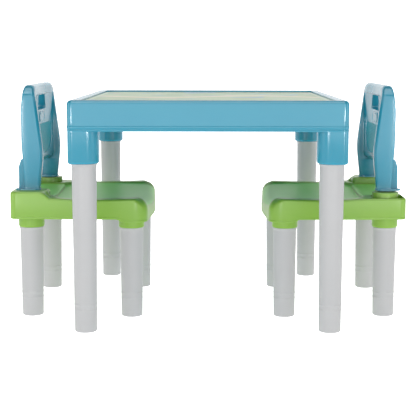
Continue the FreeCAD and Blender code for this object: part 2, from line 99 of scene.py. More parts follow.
def ring(corners, inset=0.0, step=STEP):
    """Points of the outline, drawn in by inset; corners are (u, v, radius), anticlockwise."""
    base = lines_offset(corners, 0.0)
    inner = lines_offset(corners, inset)
    count = len(corners)
    spans = []
    for i in range(count):
        a = base[i] - base[i - 1]
        b = base[(i + 1) % count] - base[i]
        turn = math.atan2(a[0] * b[1] - a[1] * b[0], a @ b)
        reach = corners[i][2] * math.tan(abs(turn) / 2.0)
        spans.append((turn, reach))
    points = []
    for i in range(count):
        turn, reach = spans[i]
        radius = corners[i][2]
        after = (i + 1) % count
        a = inner[i] - inner[i - 1]
        b = inner[after] - inner[i]
        a = a / np.linalg.norm(a)
        b = b / np.linalg.norm(b)
        if radius == 0.0:
            start = end = inner[i]
            points.append(inner[i])
        else:
            new_radius = max(radius - math.copysign(inset, turn), 0.15)
            cut = new_radius * math.tan(abs(turn) / 2.0)
            start = inner[i] - a * cut
            end = inner[i] + b * cut
            normal = np.array([-a[1], a[0]]) * math.copysign(1.0, turn)
            centre = start + normal * new_radius
            pieces = max(2, math.ceil(abs(turn) / TURN), math.ceil(abs(turn) * radius / 14.0))
            for k in range(pieces + 1):
                angle = turn * k / pieces
                arm = start - centre
                points.append(centre + np.array([
                    arm[0] * math.cos(angle) - arm[1] * math.sin(angle),
                    arm[0] * math.sin(angle) + arm[1] * math.cos(angle)]))
        straight = np.linalg.norm(base[after] - base[i]) - reach - spans[after][1]
        pieces = max(1, round(straight / step))
        next_radius = corners[after][2]
        next_cut = 0.0
        if next_radius > 0.0:
            next_cut = max(next_radius - math.copysign(inset, spans[after][0]), 0.15)
            next_cut *= math.tan(abs(spans[after][0]) / 2.0)
        goal = inner[after] - b * next_cut
        for k in range(1, pieces):
            points.append(end + (goal - end) * k / pieces)
    return np.array(points)


def outward(points):
    """Unit normals that point out of a closed, anticlockwise run of points."""
    along = np.roll(points, -1, axis=0) - np.roll(points, 1, axis=0)
    normal = np.stack([along[:, 1], -along[:, 0]], axis=1)
    return normal / np.linalg.norm(normal, axis=1, keepdims=True)


def depth_inside(points, closed_line):
    """Distance of each point from a closed line, positive inside it."""
    points = np.atleast_2d(points)
    start = closed_line
    end = np.roll(closed_line, -1, axis=0)
    best = np.full(len(points), 1e9)
    inside = np.zeros(len(points), bool)
    for a, b in zip(start, end):
        side = b - a
        if side @ side < 1e-12:
            continue
        share = np.clip(((points - a) @ side) / (side @ side), 0.0, 1.0)
        best = np.minimum(best, np.linalg.norm(points - a - share[:, None] * side, axis=1))
        if a[1] != b[1]:
            spans_it = (a[1] > points[:, 1]) != (b[1] > points[:, 1])
            crossing = a[0] + (points[:, 1] - a[1]) * side[0] / side[1]
            inside ^= spans_it & (points[:, 0] < crossing)
    return np.where(inside, best, -best)


def quarter(step):
    """Angles of a quarter turn, in steps of so many degrees."""
    return np.radians(np.arange(0.0, 91.0, step))


def circle():
    """Points of a circle with a radius of one."""
    turns = np.linspace(0.0, 2.0 * math.pi, 64, endpoint=False)
    return np.column_stack([np.cos(turns), np.sin(turns)])


def looped(line):
    """A closed line with its first point again at the end."""
    return np.vstack([line, line[:1]])


def arc_radius(half, rise):
    """Radius of an arc that spans twice half and rises by rise."""
    return (half ** 2 + rise ** 2) / (2.0 * rise)


def sag(y, half, radius):
    """How far an arc has risen at a distance y from its lowest place."""
    return radius - np.sqrt(radius ** 2 - np.clip(y, -half, half) ** 2)


def smooth(value, low, high):
    share = np.clip((value - low) / (high - low), 0.0, 1.0)
    return share * share * (3.0 - 2.0 * share)


# %% [markdown]
# ## Shells
# A moulding is a shell: one closed skin. The class below collects points and faces. `band` joins
# two runs of points, `cap` closes a flat end, and `sheet` fills an outline with small triangles
# that also follow the lines given to it, so that a sharp feature such as the foot of a wall lies
# on an edge of the mesh. `finish` hands the skin over as a mesh.

# %% The shell builder
class Shell:
    def __init__(self):
        self.points = []
        self.faces = []

    def run(self, plan, height):
        """Adds points (u, v, w) and returns their numbers."""
        height = np.broadcast_to(height, (len(plan),))
        first = len(self.points)
        self.points.extend(np.column_stack([plan, height]).tolist())
        return list(range(first, len(self.points)))

    def band(self, low, high):
        count = len(low)
        for i in range(count):
            j = (i + 1) % count
            self.faces.append((low[i], low[j], high[j], high[i]))

    def skin(self, runs):
        """Joins each run of a list to the next one."""
        for low, high in zip(runs[:-1], runs[1:]):
            self.band(low, high)

    def cap(self, run, up=True):
        self.faces.append(tuple(run) if up else tuple(reversed(run)))

    def sheet(self, edge, height, holes=(), lines=(), spacing=9.0, up=True, keep=0.45):
        """Fills the edge run, round the hole runs; height gives w at any (u, v)."""
        plan = []
        numbers = []
        links = []
        for run in [edge] + list(holes):
            first = len(plan)
            plan.extend(self.points[i][:2] for i in run)
            numbers.extend(run)
            count = len(run)
            links.extend((first + i, first + (i + 1) % count) for i in range(count))
        border = np.array([self.points[i][:2] for i in edge])
        gaps = [np.array([self.points[i][:2] for i in run]) for run in holes]

        def free(candidates, clear):
            good = depth_inside(candidates, border) > clear
            for gap in gaps:
                good &= depth_inside(candidates, gap) < -clear
            return good

        for line in lines:
            line = np.array(line, float)
            good = free(line, 0.02)
            last = None
            for point, kept in zip(line, good):
                if kept:
                    plan.append(tuple(point))
                    numbers.append(None)
                    if last is not None:
                        links.append((last, len(plan) - 1))
                    last = len(plan) - 1
                else:
                    last = None
        low = border.min(0)
        high = border.max(0)
        across = [np.linspace(low[k], high[k], max(2, int((high[k] - low[k]) / spacing)) + 1)[1:-1]
                  for k in (0, 1)]
        grid = np.array([(u, v) for u in across[0] for v in across[1]])
        if len(grid):
            grid = grid[free(grid, spacing * keep)]
        if len(grid):
            near = np.array(plan)
            clear = np.array([np.min(np.sum((near - p) ** 2, axis=1)) for p in grid])
            grid = grid[clear > (spacing * keep) ** 2]
            plan.extend(map(tuple, grid))
            numbers.extend([None] * len(grid))
        result = delaunay_2d_cdt([Vector(p) for p in plan], links, [], 0, 1e-5)
        verts, faces, origins = result[0], result[2], result[3]
        flat = np.array([tuple(v) for v in verts])
        depth = height(flat[:, 0], flat[:, 1])
        depth = np.broadcast_to(depth, (len(flat),))
        final = []
        for i, sources in enumerate(origins):
            known = [numbers[s] for s in sources if numbers[s] is not None]
            if known:
                final.append(known[0])
            else:
                self.points.append([flat[i][0], flat[i][1], depth[i]])
                final.append(len(self.points) - 1)
        inside = free(np.array([flat[list(face)].mean(0) for face in faces]), 0.0)
        for face, kept in zip(faces, inside):
            if kept:
                loop = [final[i] for i in face]
                self.faces.append(tuple(loop) if up else tuple(reversed(loop)))

    def finish(self, axes="xyz"):
        """The skin as a mesh in metres; axes says which of x, y and z u, v and w stand for."""
        points = np.array(self.points)[:, [axes.index(axis) for axis in "xyz"]] / 1000.0
        mesh = bpy.data.meshes.new("shell")
        mesh.from_pydata(points.tolist(), [], self.faces)
        work = bmesh.new()
        work.from_mesh(mesh)
        bmesh.ops.remove_doubles(work, verts=work.verts, dist=2e-5)
        bmesh.ops.dissolve_degenerate(work, dist=1e-6, edges=work.edges)
        bmesh.ops.recalc_face_normals(work, faces=work.faces)
        odd = [edge for edge in work.edges if len(edge.link_faces) != 2]
        if odd:
            print("this shell is not closed:", len(odd), "odd edges, the first ones at mm", [
                [round(1000 * c, 2) for c in edge.verts[0].co] for edge in odd[:8]])
        work.to_mesh(mesh)
        work.free()
        return mesh


# %% [markdown]
# ## Joining and cutting
# Ribs, sockets and pockets are their own closed shells. Joining them to the main moulding with a
# Boolean gives one clean skin with nothing left inside, which a heap of overlapping boxes would
# not. The Manifold solver is quick but needs closed shells. It leaves an open one out, so the
# builder counts the odd edges of every shell and prints where they are.

# %% Boolean helper and plain tools for it
def as_object(mesh, name="tool"):
    thing = bpy.data.objects.new(name, mesh)
    bpy.context.scene.collection.objects.link(thing)
    return thing


def combine(mesh, others, operation):
    """Joins the other meshes to the first, or cuts them from it."""
    base = as_object(mesh, "base")
    tools = [as_object(other) for other in others]
    for tool in tools:
        step = base.modifiers.new("step", "BOOLEAN")
        step.operation = operation
        step.solver = "MANIFOLD"
        step.object = tool
    graph = bpy.context.evaluated_depsgraph_get()
    result = bpy.data.meshes.new_from_object(base.evaluated_get(graph))
    for thing in [base] + tools:
        bpy.data.objects.remove(thing)
    print(operation.lower(), len(others), "shells ->", len(result.polygons), "faces")
    return result


def plate(corners, low, high, axes="xyz", soften=0.0):
    """A plain closed plate over an outline, with an optional soft edge round its high face."""
    shell = Shell()
    last = shell.run(ring(corners), low)
    shell.cap(last, up=False)
    angles = np.radians([0.0, 30.0, 60.0, 90.0]) if soften else [0.0]
    for angle in angles:
        inset = soften * (1.0 - math.cos(angle))
        now = shell.run(ring(corners, inset), high - soften * (1.0 - math.sin(angle)))
        shell.band(last, now)
        last = now
    shell.cap(last)
    return shell.finish(axes)


def rectangle(u0, u1, v0, v1, radius):
    return [(u0, v0, radius), (u1, v0, radius), (u1, v1, radius), (u0, v1, radius)]


def lathe(profile, x, y):
    """A turned skin: the profile is (radius, height) from one end of the axis to the other."""
    shell = Shell()
    runs = [shell.run(circle() * radius + (x, y), height) for radius, height in profile]
    shell.skin(runs)
    shell.cap(runs[0], up=False)
    shell.cap(runs[-1])
    return shell.finish()


# %% [markdown]
# ## Handing a piece over
# A finished piece rides on its body, stands for the plain part it replaces, and takes its finish as a
# material. The right chair is the left one turned half round, so each chair piece is made once, about
# the middle of its own chair, and placed twice.

# %% Placing pieces
CHAIR_PLACE = 241.0
TO_LEFT = (1.0, -CHAIR_PLACE)
TO_RIGHT = (-1.0, CHAIR_PLACE)
FINISH = {}


def piece(mesh, node, body, finish, turn=None, crease=32.0, second=None):
    """Places one mesh in the frame as the piece that stands for a node.

    second is another finish with the faces that take it."""
    mesh = mesh.copy()
    if turn:
        facing, place = turn
        points = np.empty(len(mesh.vertices) * 3)
        mesh.vertices.foreach_get("co", points)
        points = points.reshape(-1, 3) * (facing, facing, 1.0) + (place / 1000.0, 0.0, 0.0)
        mesh.vertices.foreach_set("co", points.ravel())
    mesh.name = node
    mesh.polygons.foreach_set("use_smooth", [True] * len(mesh.polygons))
    mesh.set_sharp_from_angle(angle=math.radians(crease))
    mesh.update()
    thing = as_object(mesh, node + "_moulding")
    mesh.materials.clear()
    mesh.materials.append(FINISH[finish])
    if second:
        other_finish, takes_it = second
        mesh.materials.append(FINISH[other_finish])
        mesh.polygons.foreach_set("material_index", takes_it.astype(int).tolist())
    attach(thing, body)
    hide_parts(node)
    low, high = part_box(node)
    gap = [round(1000 * (thing.bound_box[i][k] - edge[k]), 2)
           for i, edge in ((0, low), (6, high)) for k in range(3)]
    print(node, "differs from the frame by mm", gap)
    return thing


def bath(nodes, values):
    """Sets plain values on a node's sockets, by name."""
    for name, value in values.items():
        nodes.inputs[name].default_value = value


# %% [markdown]
# ## Shared effects as node groups
# Moulded plastic is never one flat colour. Near the gates and along flow lines the pigment is a
# little stronger or weaker, the skin has a fine grain, handling leaves soft rubs, and dust gathers
# on what faces up. Each of those is a node group with its own inputs, so every finish can have
# more or less of it. The groups only put out colours, masks and heights.

# %% Group helper
def new_group(name, inputs, outputs):
    group = bpy.data.node_groups.new(name, "ShaderNodeTree")
    for socket, kind, value in inputs:
        made = group.interface.new_socket(name=socket, in_out="INPUT", socket_type=kind)
        made.default_value = value
    for socket, kind in outputs:
        group.interface.new_socket(name=socket, in_out="OUTPUT", socket_type=kind)
    return group, group.nodes.new("NodeGroupInput"), group.nodes.new("NodeGroupOutput")


def node(tree, kind, **settings):
    made = tree.nodes.new(kind)
    for name, value in settings.items():
        setattr(made, name, value)
    return made


def noise(tree, where, scale, detail=3.0, roughness=0.5, distortion=0.0):
    made = node(tree, "ShaderNodeTexNoise")
    bath(made, {"Scale": scale, "Detail": detail, "Roughness": roughness,
                "Distortion": distortion})
    tree.links.new(where, made.inputs["Vector"])
    return made.outputs["Fac"]


def remap(tree, value, low, high, new_low=0.0, new_high=1.0):
    made = node(tree, "ShaderNodeMapRange")
    bath(made, {"From Min": low, "From Max": high, "To Min": new_low, "To Max": new_high})
    tree.links.new(value, made.inputs["Value"])
    return made.outputs["Result"]


def maths(tree, operation, first, second):
    made = node(tree, "ShaderNodeMath", operation=operation)
    for socket, value in zip(made.inputs, (first, second)):
        if isinstance(value, (int, float)):
            socket.default_value = value
        else:
            tree.links.new(value, socket)
    return made.outputs["Value"]


def blend_colour(tree, share, first, second, mode="MIX"):
    made = node(tree, "ShaderNodeMix", data_type="RGBA", blend_type=mode)
    for socket, value in ((made.inputs[0], share), (made.inputs[6], first),
                          (made.inputs[7], second)):
        if isinstance(value, (int, float, tuple)):
            socket.default_value = value
        else:
            tree.links.new(value, socket)
    return made.outputs[2]


COLOUR = "NodeSocketColor"
NUMBER = "NodeSocketFloat"
PLACE = "NodeSocketVector"

# %% Pigment: soft clouds and long flow marks in the colour
pigment, took, gave = new_group("moulded_pigment", [
    ("Place", PLACE, (0.0, 0.0, 0.0)), ("Colour", COLOUR, (0.5, 0.5, 0.5, 1.0)),
    ("Deep colour", COLOUR, (0.4, 0.4, 0.4, 1.0)), ("Clouds", NUMBER, 0.3),
    ("Flow marks", NUMBER, 0.2)], [("Colour", COLOUR)])
clouds = remap(pigment, noise(pigment, took.outputs["Place"], 7.0, 4.0), 0.35, 0.7)
stretch = node(pigment, "ShaderNodeMapping")
bath(stretch, {"Scale": (9.0, 9.0, 34.0)})
pigment.links.new(took.outputs["Place"], stretch.inputs["Vector"])
flow = remap(pigment, noise(pigment, stretch.outputs["Vector"], 1.6, 5.0, 0.6, 1.4), 0.4, 0.75)
amount = maths(pigment, "ADD", maths(pigment, "MULTIPLY", clouds, took.outputs["Clouds"]),
               maths(pigment, "MULTIPLY", flow, took.outputs["Flow marks"]))
pigment.links.new(blend_colour(pigment, amount, took.outputs["Colour"],
                               took.outputs["Deep colour"]), gave.inputs["Colour"])

# %% Grain: the fine skin that a mould leaves, as a height
grain, took, gave = new_group("mould_grain", [
    ("Place", PLACE, (0.0, 0.0, 0.0)), ("Grain size", NUMBER, 900.0),
    ("Grain", NUMBER, 0.5), ("Ripple", NUMBER, 0.5)], [("Height", NUMBER)])
fine_noise = node(grain, "ShaderNodeTexNoise")
bath(fine_noise, {"Detail": 2.0})
grain.links.new(took.outputs["Place"], fine_noise.inputs["Vector"])
grain.links.new(took.outputs["Grain size"], fine_noise.inputs["Scale"])
fine = maths(grain, "MULTIPLY", fine_noise.outputs["Fac"], took.outputs["Grain"])
ripple = maths(grain, "MULTIPLY", noise(grain, took.outputs["Place"], 22.0, 2.0),
               took.outputs["Ripple"])
grain.links.new(maths(grain, "ADD", fine, ripple), gave.inputs["Height"])

# %% Rubs: small marks of handling, which dull the gloss in places
rubs, took, gave = new_group("handling_rubs", [
    ("Place", PLACE, (0.0, 0.0, 0.0)), ("Amount", NUMBER, 0.3)],
    [("Mask", NUMBER)])
patches = remap(rubs, noise(rubs, took.outputs["Place"], 13.0, 5.0, 0.65), 0.52, 0.72)
streaks = node(rubs, "ShaderNodeMapping")
bath(streaks, {"Scale": (60.0, 420.0, 90.0), "Rotation": (0.3, 0.5, 0.7)})
rubs.links.new(took.outputs["Place"], streaks.inputs["Vector"])
scratches = remap(rubs, noise(rubs, streaks.outputs["Vector"], 1.0, 3.0), 0.62, 0.7)
mask = maths(rubs, "MAXIMUM", maths(rubs, "MULTIPLY", patches, 0.6),
             maths(rubs, "MULTIPLY", scratches, patches))
rubs.links.new(maths(rubs, "MULTIPLY", mask, took.outputs["Amount"]), gave.inputs["Mask"])

# %% Worn edges: a mask of the edges that hands and knees polish pale
edge_wear, took, gave = new_group("edge_wear", [
    ("Place", PLACE, (0.0, 0.0, 0.0)), ("Amount", NUMBER, 0.3)], [("Mask", NUMBER)])
shape = node(edge_wear, "ShaderNodeNewGeometry")
ridge = remap(edge_wear, shape.outputs["Pointiness"], 0.52, 0.6)
broken = remap(edge_wear, noise(edge_wear, took.outputs["Place"], 60.0, 4.0), 0.35, 0.65)
edge_wear.links.new(maths(edge_wear, "MULTIPLY", maths(edge_wear, "MULTIPLY", ridge, broken),
                          took.outputs["Amount"]), gave.inputs["Mask"])

# %% Dust: pale and thin, only on what faces up
dust, took, gave = new_group("settled_dust", [
    ("Place", PLACE, (0.0, 0.0, 0.0)), ("Amount", NUMBER, 0.1)], [("Mask", NUMBER)])
shape = node(dust, "ShaderNodeNewGeometry")
parts = node(dust, "ShaderNodeSeparateXYZ")
dust.links.new(shape.outputs["Normal"], parts.inputs["Vector"])
upward = remap(dust, parts.outputs["Z"], 0.55, 1.0)
specks = remap(dust, noise(dust, took.outputs["Place"], 45.0, 6.0, 0.7), 0.3, 0.8)
dust.links.new(maths(dust, "MULTIPLY", maths(dust, "MULTIPLY", upward, specks),
                     took.outputs["Amount"]), gave.inputs["Mask"])
print("node groups:", sorted(group.name for group in bpy.data.node_groups))


# %% [markdown]
# ## The plastics
# All mouldings are one family of plastic, so one recipe makes them: pigment with clouds and flow
# marks, a grain that only the light shows, rubs that raise the roughness, pale worn edges and a
# breath of dust. The shader itself stays in each material, with its plain numbers on its own
# sockets. Light that sinks into the plastic is left out, so the colour does that work.

# %% Recipe for moulded plastic
def moulded(name, colour, deep, pale, roughness, clouds=0.3, flow_marks=0.2, grain_size=900.0,
            grain_height=0.2, wear=0.25, rub=0.2, dusty=0.02, shine=0.6, line_pitch=0.0):
    material = bpy.data.materials.new(name)
    material.use_nodes = True
    tree = material.node_tree
    shader = tree.nodes["Principled BSDF"]
    bath(shader, {"IOR": 1.5, "Specular IOR Level": shine})
    place = node(tree, "ShaderNodeTexCoord").outputs["Object"]

    def use(group, **values):
        made = node(tree, "ShaderNodeGroup", node_tree=group)
        tree.links.new(place, made.inputs["Place"])
        for socket, value in values.items():
            made.inputs[socket.replace("_", " ")].default_value = value
        return made.outputs[0]

    body = use(pigment, Colour=colour, Deep_colour=deep, Clouds=clouds, Flow_marks=flow_marks)
    worn = use(edge_wear, Amount=wear)
    rubbed = use(rubs, Amount=rub)
    dusted = use(dust, Amount=dusty)
    body = blend_colour(tree, worn, body, pale)
    body = blend_colour(tree, dusted, body, (0.72, 0.72, 0.69, 1.0))
    tree.links.new(body, shader.inputs["Base Color"])
    gloss = remap(tree, rubbed, 0.0, 1.0, roughness, min(roughness + 0.35, 1.0))
    gloss = maths(tree, "ADD", gloss, maths(tree, "MULTIPLY", dusted, 0.4))
    tree.links.new(gloss, shader.inputs["Roughness"])
    relief = node(tree, "ShaderNodeBump")
    bath(relief, {"Strength": grain_height, "Distance": 0.0002})
    height = use(grain, Grain_size=grain_size, Grain=0.5, Ripple=0.4)
    if line_pitch:
        parts = node(tree, "ShaderNodeSeparateXYZ")
        tree.links.new(place, parts.inputs["Vector"])
        turns = maths(tree, "MULTIPLY", parts.outputs["Z"], 2.0 * math.pi / line_pitch)
        height = maths(tree, "ADD", height, maths(tree, "SINE", turns, 0.0))
    tree.links.new(height, relief.inputs["Height"])
    tree.links.new(relief.outputs["Normal"], shader.inputs["Normal"])
    FINISH[name] = material
    return material


# %% Blue, green and grey
moulded("sky_blue_plastic", (0.018, 0.250, 0.362, 1.0), (0.012, 0.226, 0.340, 1.0),
        (0.16, 0.42, 0.55, 1.0), 0.17)
# The grip field is painted a brighter blue than the rest of the back, as painted light that lifts the
# shade among its ribs; its ribs and duller gloss are its own.
moulded("blue_grip_painted_light_plastic", (0.020, 0.330, 0.420, 1.0), (0.012, 0.300, 0.395, 1.0),
        (0.12, 0.38, 0.48, 1.0), 0.50, grain_height=0.6, shine=0.4, line_pitch=0.0032)
moulded("leaf_green_plastic", (0.205, 0.395, 0.038, 1.0), (0.160, 0.365, 0.030, 1.0),
        (0.38, 0.58, 0.18, 1.0), 0.34, grain_size=520.0, grain_height=0.45, rub=0.1, shine=0.5)
# The dish's green is painted brighter than the rest of the seat, as painted light on its upward
# faces; its finer grain and softer gloss are its own.
moulded("satin_green_painted_light_plastic", (0.250, 0.640, 0.130, 1.0), (0.220, 0.600, 0.115, 1.0),
        (0.38, 0.58, 0.25, 1.0), 0.42, grain_size=700.0, grain_height=0.6, rub=0.1, shine=0.35)
moulded("pale_grey_plastic", (0.430, 0.432, 0.438, 1.0), (0.402, 0.405, 0.411, 1.0),
        (0.56, 0.56, 0.56, 1.0), 0.34, wear=0.15, shine=0.4)
print("finishes:", sorted(FINISH))

# %% [markdown]
# ## The table top
# One moulding: a tray with a crowned rim, an apron with a fine bead and a flared lip near its
# lower edge, ribs underneath, and four sockets that the legs push into. The tray is a profile
# carried round a rounded rectangle, which keeps every edge soft and even. The sockets are square
# on the outside corner and round everywhere else.

# %% Sizes of the table
TABLE_TOP = 420.0
HALF_WIDTH = 249.4
HALF_DEPTH = 299.4
APRON_FOOT = 365.0
APRON_WALL = 3.6
RIM = 20.0
TRAY_FLOOR = 414.8
SKIN_UNDER = 411.6
UPRIGHT_ROUND = 10.0
TABLE_LEG_HEIGHT = 306.5
SOCKET = 55.0
BORE = 17.7
SOCKET_FLUSH = 0.12            # keeps a socket's outer face off the apron's own face
LEG_HOLE_DEPTH = 51.5
RIB_HALF = 1.2
RIB_DEPTH = 18.0
SUNK = 1.4                     # how far ribs and sockets reach into the skin above them
TABLE_LEG_X = HALF_WIDTH - SOCKET / 2.0
TABLE_LEG_Y = HALF_DEPTH - SOCKET / 2.0
print("table:", 2 * HALF_WIDTH, "by", 2 * HALF_DEPTH, "by", TABLE_TOP, "mm")


def table_ring(inset, radius=None):
    if radius is None:
        radius = max(UPRIGHT_ROUND - inset, 0.5)
    corners = rectangle(-HALF_WIDTH + inset, HALF_WIDTH - inset,
                        -HALF_DEPTH + inset, HALF_DEPTH - inset, radius)
    return ring(corners, step=UNBROKEN)


# %% The tray, its rim and the apron
def table_profile():
    """(inset, height, corner radius) from the tray floor, over the rim and down the apron."""
    edge = 7.0
    stations = [(RIM, TRAY_FLOOR, 8.0), (RIM, TABLE_TOP - 1.6, 8.0)]
    for angle in np.radians([30.0, 60.0, 90.0]):
        stations.append((RIM - 1.2 * (1.0 - math.cos(angle)),
                         TABLE_TOP - 0.4 - 1.2 * (1.0 - math.sin(angle)), 8.5))
    stations.append((RIM * 0.7, TABLE_TOP - 0.05, 8.0))
    stations.append((RIM * 0.42, TABLE_TOP, 3.5))
    for angle in quarter(11.25)[::-1]:
        stations.append((edge * (1.0 - math.cos(angle)),
                         TABLE_TOP - edge * (1.0 - math.sin(angle)), None))
    for inset, height in ((0.0, 400.0), (0.0, 385.0), (0.0, 375.4), (-0.1, 374.6), (-0.45, 373.9),
                          (-0.6, 373.0), (-0.6, 371.2), (-0.4, 370.4), (0.1, 369.8),
                          (0.25, 369.2), (0.1, 368.6), (-0.35, 367.4), (-0.5, 366.6),
                          (-0.35, 365.7), (0.1, 365.2), (0.7, APRON_FOOT), (2.9, APRON_FOOT),
                          (3.4, 365.3), (APRON_WALL, 366.0)):
        stations.append((inset, height, None))
    stations.append((APRON_WALL, SKIN_UNDER - 2.0, None))
    stations.append((APRON_WALL + 0.6, SKIN_UNDER - 0.6, 3.0))
    stations.append((APRON_WALL + 2.0, SKIN_UNDER, 3.0))
    return stations


tray = Shell()
runs = [tray.run(table_ring(inset, radius), height) for inset, height, radius in table_profile()]
tray.skin(runs)
tray.cap(runs[0])
tray.cap(runs[-1])
tray_mesh = tray.finish()
print("tray skin:", len(tray_mesh.polygons), "faces")


# %% Sockets and ribs underneath
def table_socket(side_x, side_y):
    """Outline of one socket and the shell over it, open below for the leg."""
    outer_x, outer_y = HALF_WIDTH - SOCKET_FLUSH, HALF_DEPTH - SOCKET_FLUSH
    inner_x, inner_y = HALF_WIDTH - SOCKET, HALF_DEPTH - SOCKET
    turned = SOCKET / 2.0 - 0.2
    corners = [(inner_x, inner_y, turned), (outer_x, inner_y, turned),
               (outer_x, outer_y, UPRIGHT_ROUND), (inner_x, outer_y, turned)]
    corners = [(side_x * u, side_y * v, radius) for u, v, radius in corners]
    if side_x * side_y < 0:
        corners.reverse()
    centre = np.array([side_x * TABLE_LEG_X, side_y * TABLE_LEG_Y])
    shell = Shell()
    runs = [shell.run(ring(corners), SKIN_UNDER + SUNK)]
    foot = 4.5
    for angle in quarter(15.0):
        runs.append(shell.run(ring(corners, foot * (1.0 - math.cos(angle))),
                              TABLE_LEG_HEIGHT + foot * (1.0 - math.sin(angle))))
    arms = ring(corners) - centre
    arms /= np.linalg.norm(arms, axis=1, keepdims=True)
    for radius, height in ((BORE + 0.8, TABLE_LEG_HEIGHT), (BORE, TABLE_LEG_HEIGHT + 0.8),
                           (BORE, TABLE_LEG_HEIGHT + LEG_HOLE_DEPTH)):
        runs.append(shell.run(centre + arms * radius, height))
    shell.skin(runs)
    shell.cap(runs[0])
    shell.cap(runs[-1])
    return shell.finish()


def bays(half_span, count):
    width = 2.0 * half_span / (count + 1)
    return [-half_span + width * (i + 1) for i in range(count)]


table_parts = [table_socket(sx, sy) for sx in (-1, 1) for sy in (-1, 1)]
rib_reach_x = HALF_WIDTH - APRON_WALL / 2.0
rib_reach_y = HALF_DEPTH - APRON_WALL / 2.0
rib_foot = SKIN_UNDER - RIB_DEPTH
for x in bays(HALF_WIDTH - APRON_WALL, 6):
    table_parts.append(plate(rectangle(x - RIB_HALF, x + RIB_HALF, -rib_reach_y, rib_reach_y, 0.0),
                             rib_foot, SKIN_UNDER + SUNK))
for y in bays(HALF_DEPTH - APRON_WALL, 7):
    table_parts.append(plate(rectangle(-rib_reach_x, rib_reach_x, y - RIB_HALF, y + RIB_HALF, 0.0),
                             rib_foot + 0.05, SKIN_UNDER + SUNK - 0.1))
table_mesh = combine(tray_mesh, table_parts, "UNION")
piece(table_mesh, "table_top", "table", "sky_blue_plastic")

# %% [markdown]
# ## The printed panel
# A thin sheet lies in the tray, printed with a pale meadow for play: soft hills, a winding path
# and small rounded clumps, all of them plain shapes of our own. The shapes come from noise and
# from a band along a wave, so the print needs no picture. Its surface is satin, as on laminated
# card, and a pale line frames it.

# %% Panel and its print
PANEL_GAP = 0.4
PANEL_THICK = 1.2
PRINT_BORDER = 9.0
panel_x = HALF_WIDTH - RIM - PANEL_GAP
panel_y = HALF_DEPTH - RIM - PANEL_GAP


def print_finish():
    material = bpy.data.materials.new("meadow_print")
    material.use_nodes = True
    tree = material.node_tree
    shader = tree.nodes["Principled BSDF"]
    bath(shader, {"IOR": 1.5, "Specular IOR Level": 0.16})
    place = node(tree, "ShaderNodeTexCoord").outputs["Object"]
    hills = remap(tree, noise(tree, place, 5.0, 1.0, 0.4, 0.6), 0.49, 0.51)
    colour = blend_colour(tree, hills, (0.30, 0.43, 0.25, 1.0), (0.36, 0.48, 0.29, 1.0))
    clumps = remap(tree, noise(tree, place, 14.0, 1.0, 0.4, 0.3), 0.625, 0.64)
    colour = blend_colour(tree, clumps, colour, (0.22, 0.39, 0.46, 1.0))
    blooms = node(tree, "ShaderNodeTexVoronoi", feature="F1")
    bath(blooms, {"Scale": 13.0, "Randomness": 1.0})
    tree.links.new(place, blooms.inputs["Vector"])
    dots = remap(tree, blooms.outputs["Distance"], 0.16, 0.14)
    colour = blend_colour(tree, dots, colour, (0.56, 0.40, 0.42, 1.0))
    parts = node(tree, "ShaderNodeSeparateXYZ")
    tree.links.new(place, parts.inputs["Vector"])
    bend = maths(tree, "MULTIPLY", maths(tree, "SINE", maths(
        tree, "MULTIPLY", parts.outputs["X"], 17.0), 0.0), 0.05)
    path = maths(tree, "ABSOLUTE", maths(tree, "SUBTRACT", parts.outputs["Y"], bend), 0.0)
    path = remap(tree, path, 0.030, 0.027)
    colour = blend_colour(tree, path, colour, (0.58, 0.56, 0.40, 1.0))
    frame_line = None
    for name, half in (("X", panel_x), ("Y", panel_y)):
        past = maths(tree, "ABSOLUTE", parts.outputs[name], 0.0)
        past = maths(tree, "SUBTRACT", past, (half - PRINT_BORDER) / 1000.0)
        frame_line = past if frame_line is None else maths(tree, "MAXIMUM", frame_line, past)
    colour = blend_colour(tree, remap(tree, frame_line, -0.0005, 0.0005), colour,
                          (0.50, 0.60, 0.44, 1.0))
    speckle = remap(tree, noise(tree, place, 400.0, 2.0), 0.3, 0.7, 0.0, 0.12)
    colour = blend_colour(tree, speckle, colour, (0.62, 0.66, 0.55, 1.0))
    tree.links.new(colour, shader.inputs["Base Color"])
    rubbed = node(tree, "ShaderNodeGroup", node_tree=rubs)
    tree.links.new(place, rubbed.inputs["Place"])
    bath(rubbed, {"Amount": 0.5})
    tree.links.new(remap(tree, rubbed.outputs["Mask"], 0.0, 1.0, 0.34, 0.6),
                   shader.inputs["Roughness"])
    relief = node(tree, "ShaderNodeBump")
    bath(relief, {"Strength": 0.15, "Distance": 0.0002})
    tree.links.new(noise(tree, place, 500.0, 2.0), relief.inputs["Height"])
    tree.links.new(relief.outputs["Normal"], shader.inputs["Normal"])
    FINISH["meadow_print"] = material


print_finish()
panel_mesh = plate(rectangle(-panel_x, panel_x, -panel_y, panel_y, 7.6), TRAY_FLOOR,
                   TRAY_FLOOR + PANEL_THICK, soften=0.3)
piece(panel_mesh, "table_print_panel", "table", "meadow_print")

# %% [markdown]
# ## The legs
# All twelve legs are hollow pegs: a rounded foot, two fine rings above it, a slow taper, a collar
# under the socket and a spigot that goes up inside. A turned profile is the natural way to make
# them. The short chair legs and the long table legs share the one profile.

# %% Turning a leg
SPIGOT = 17.5                  # radius of the peg that goes up inside a socket


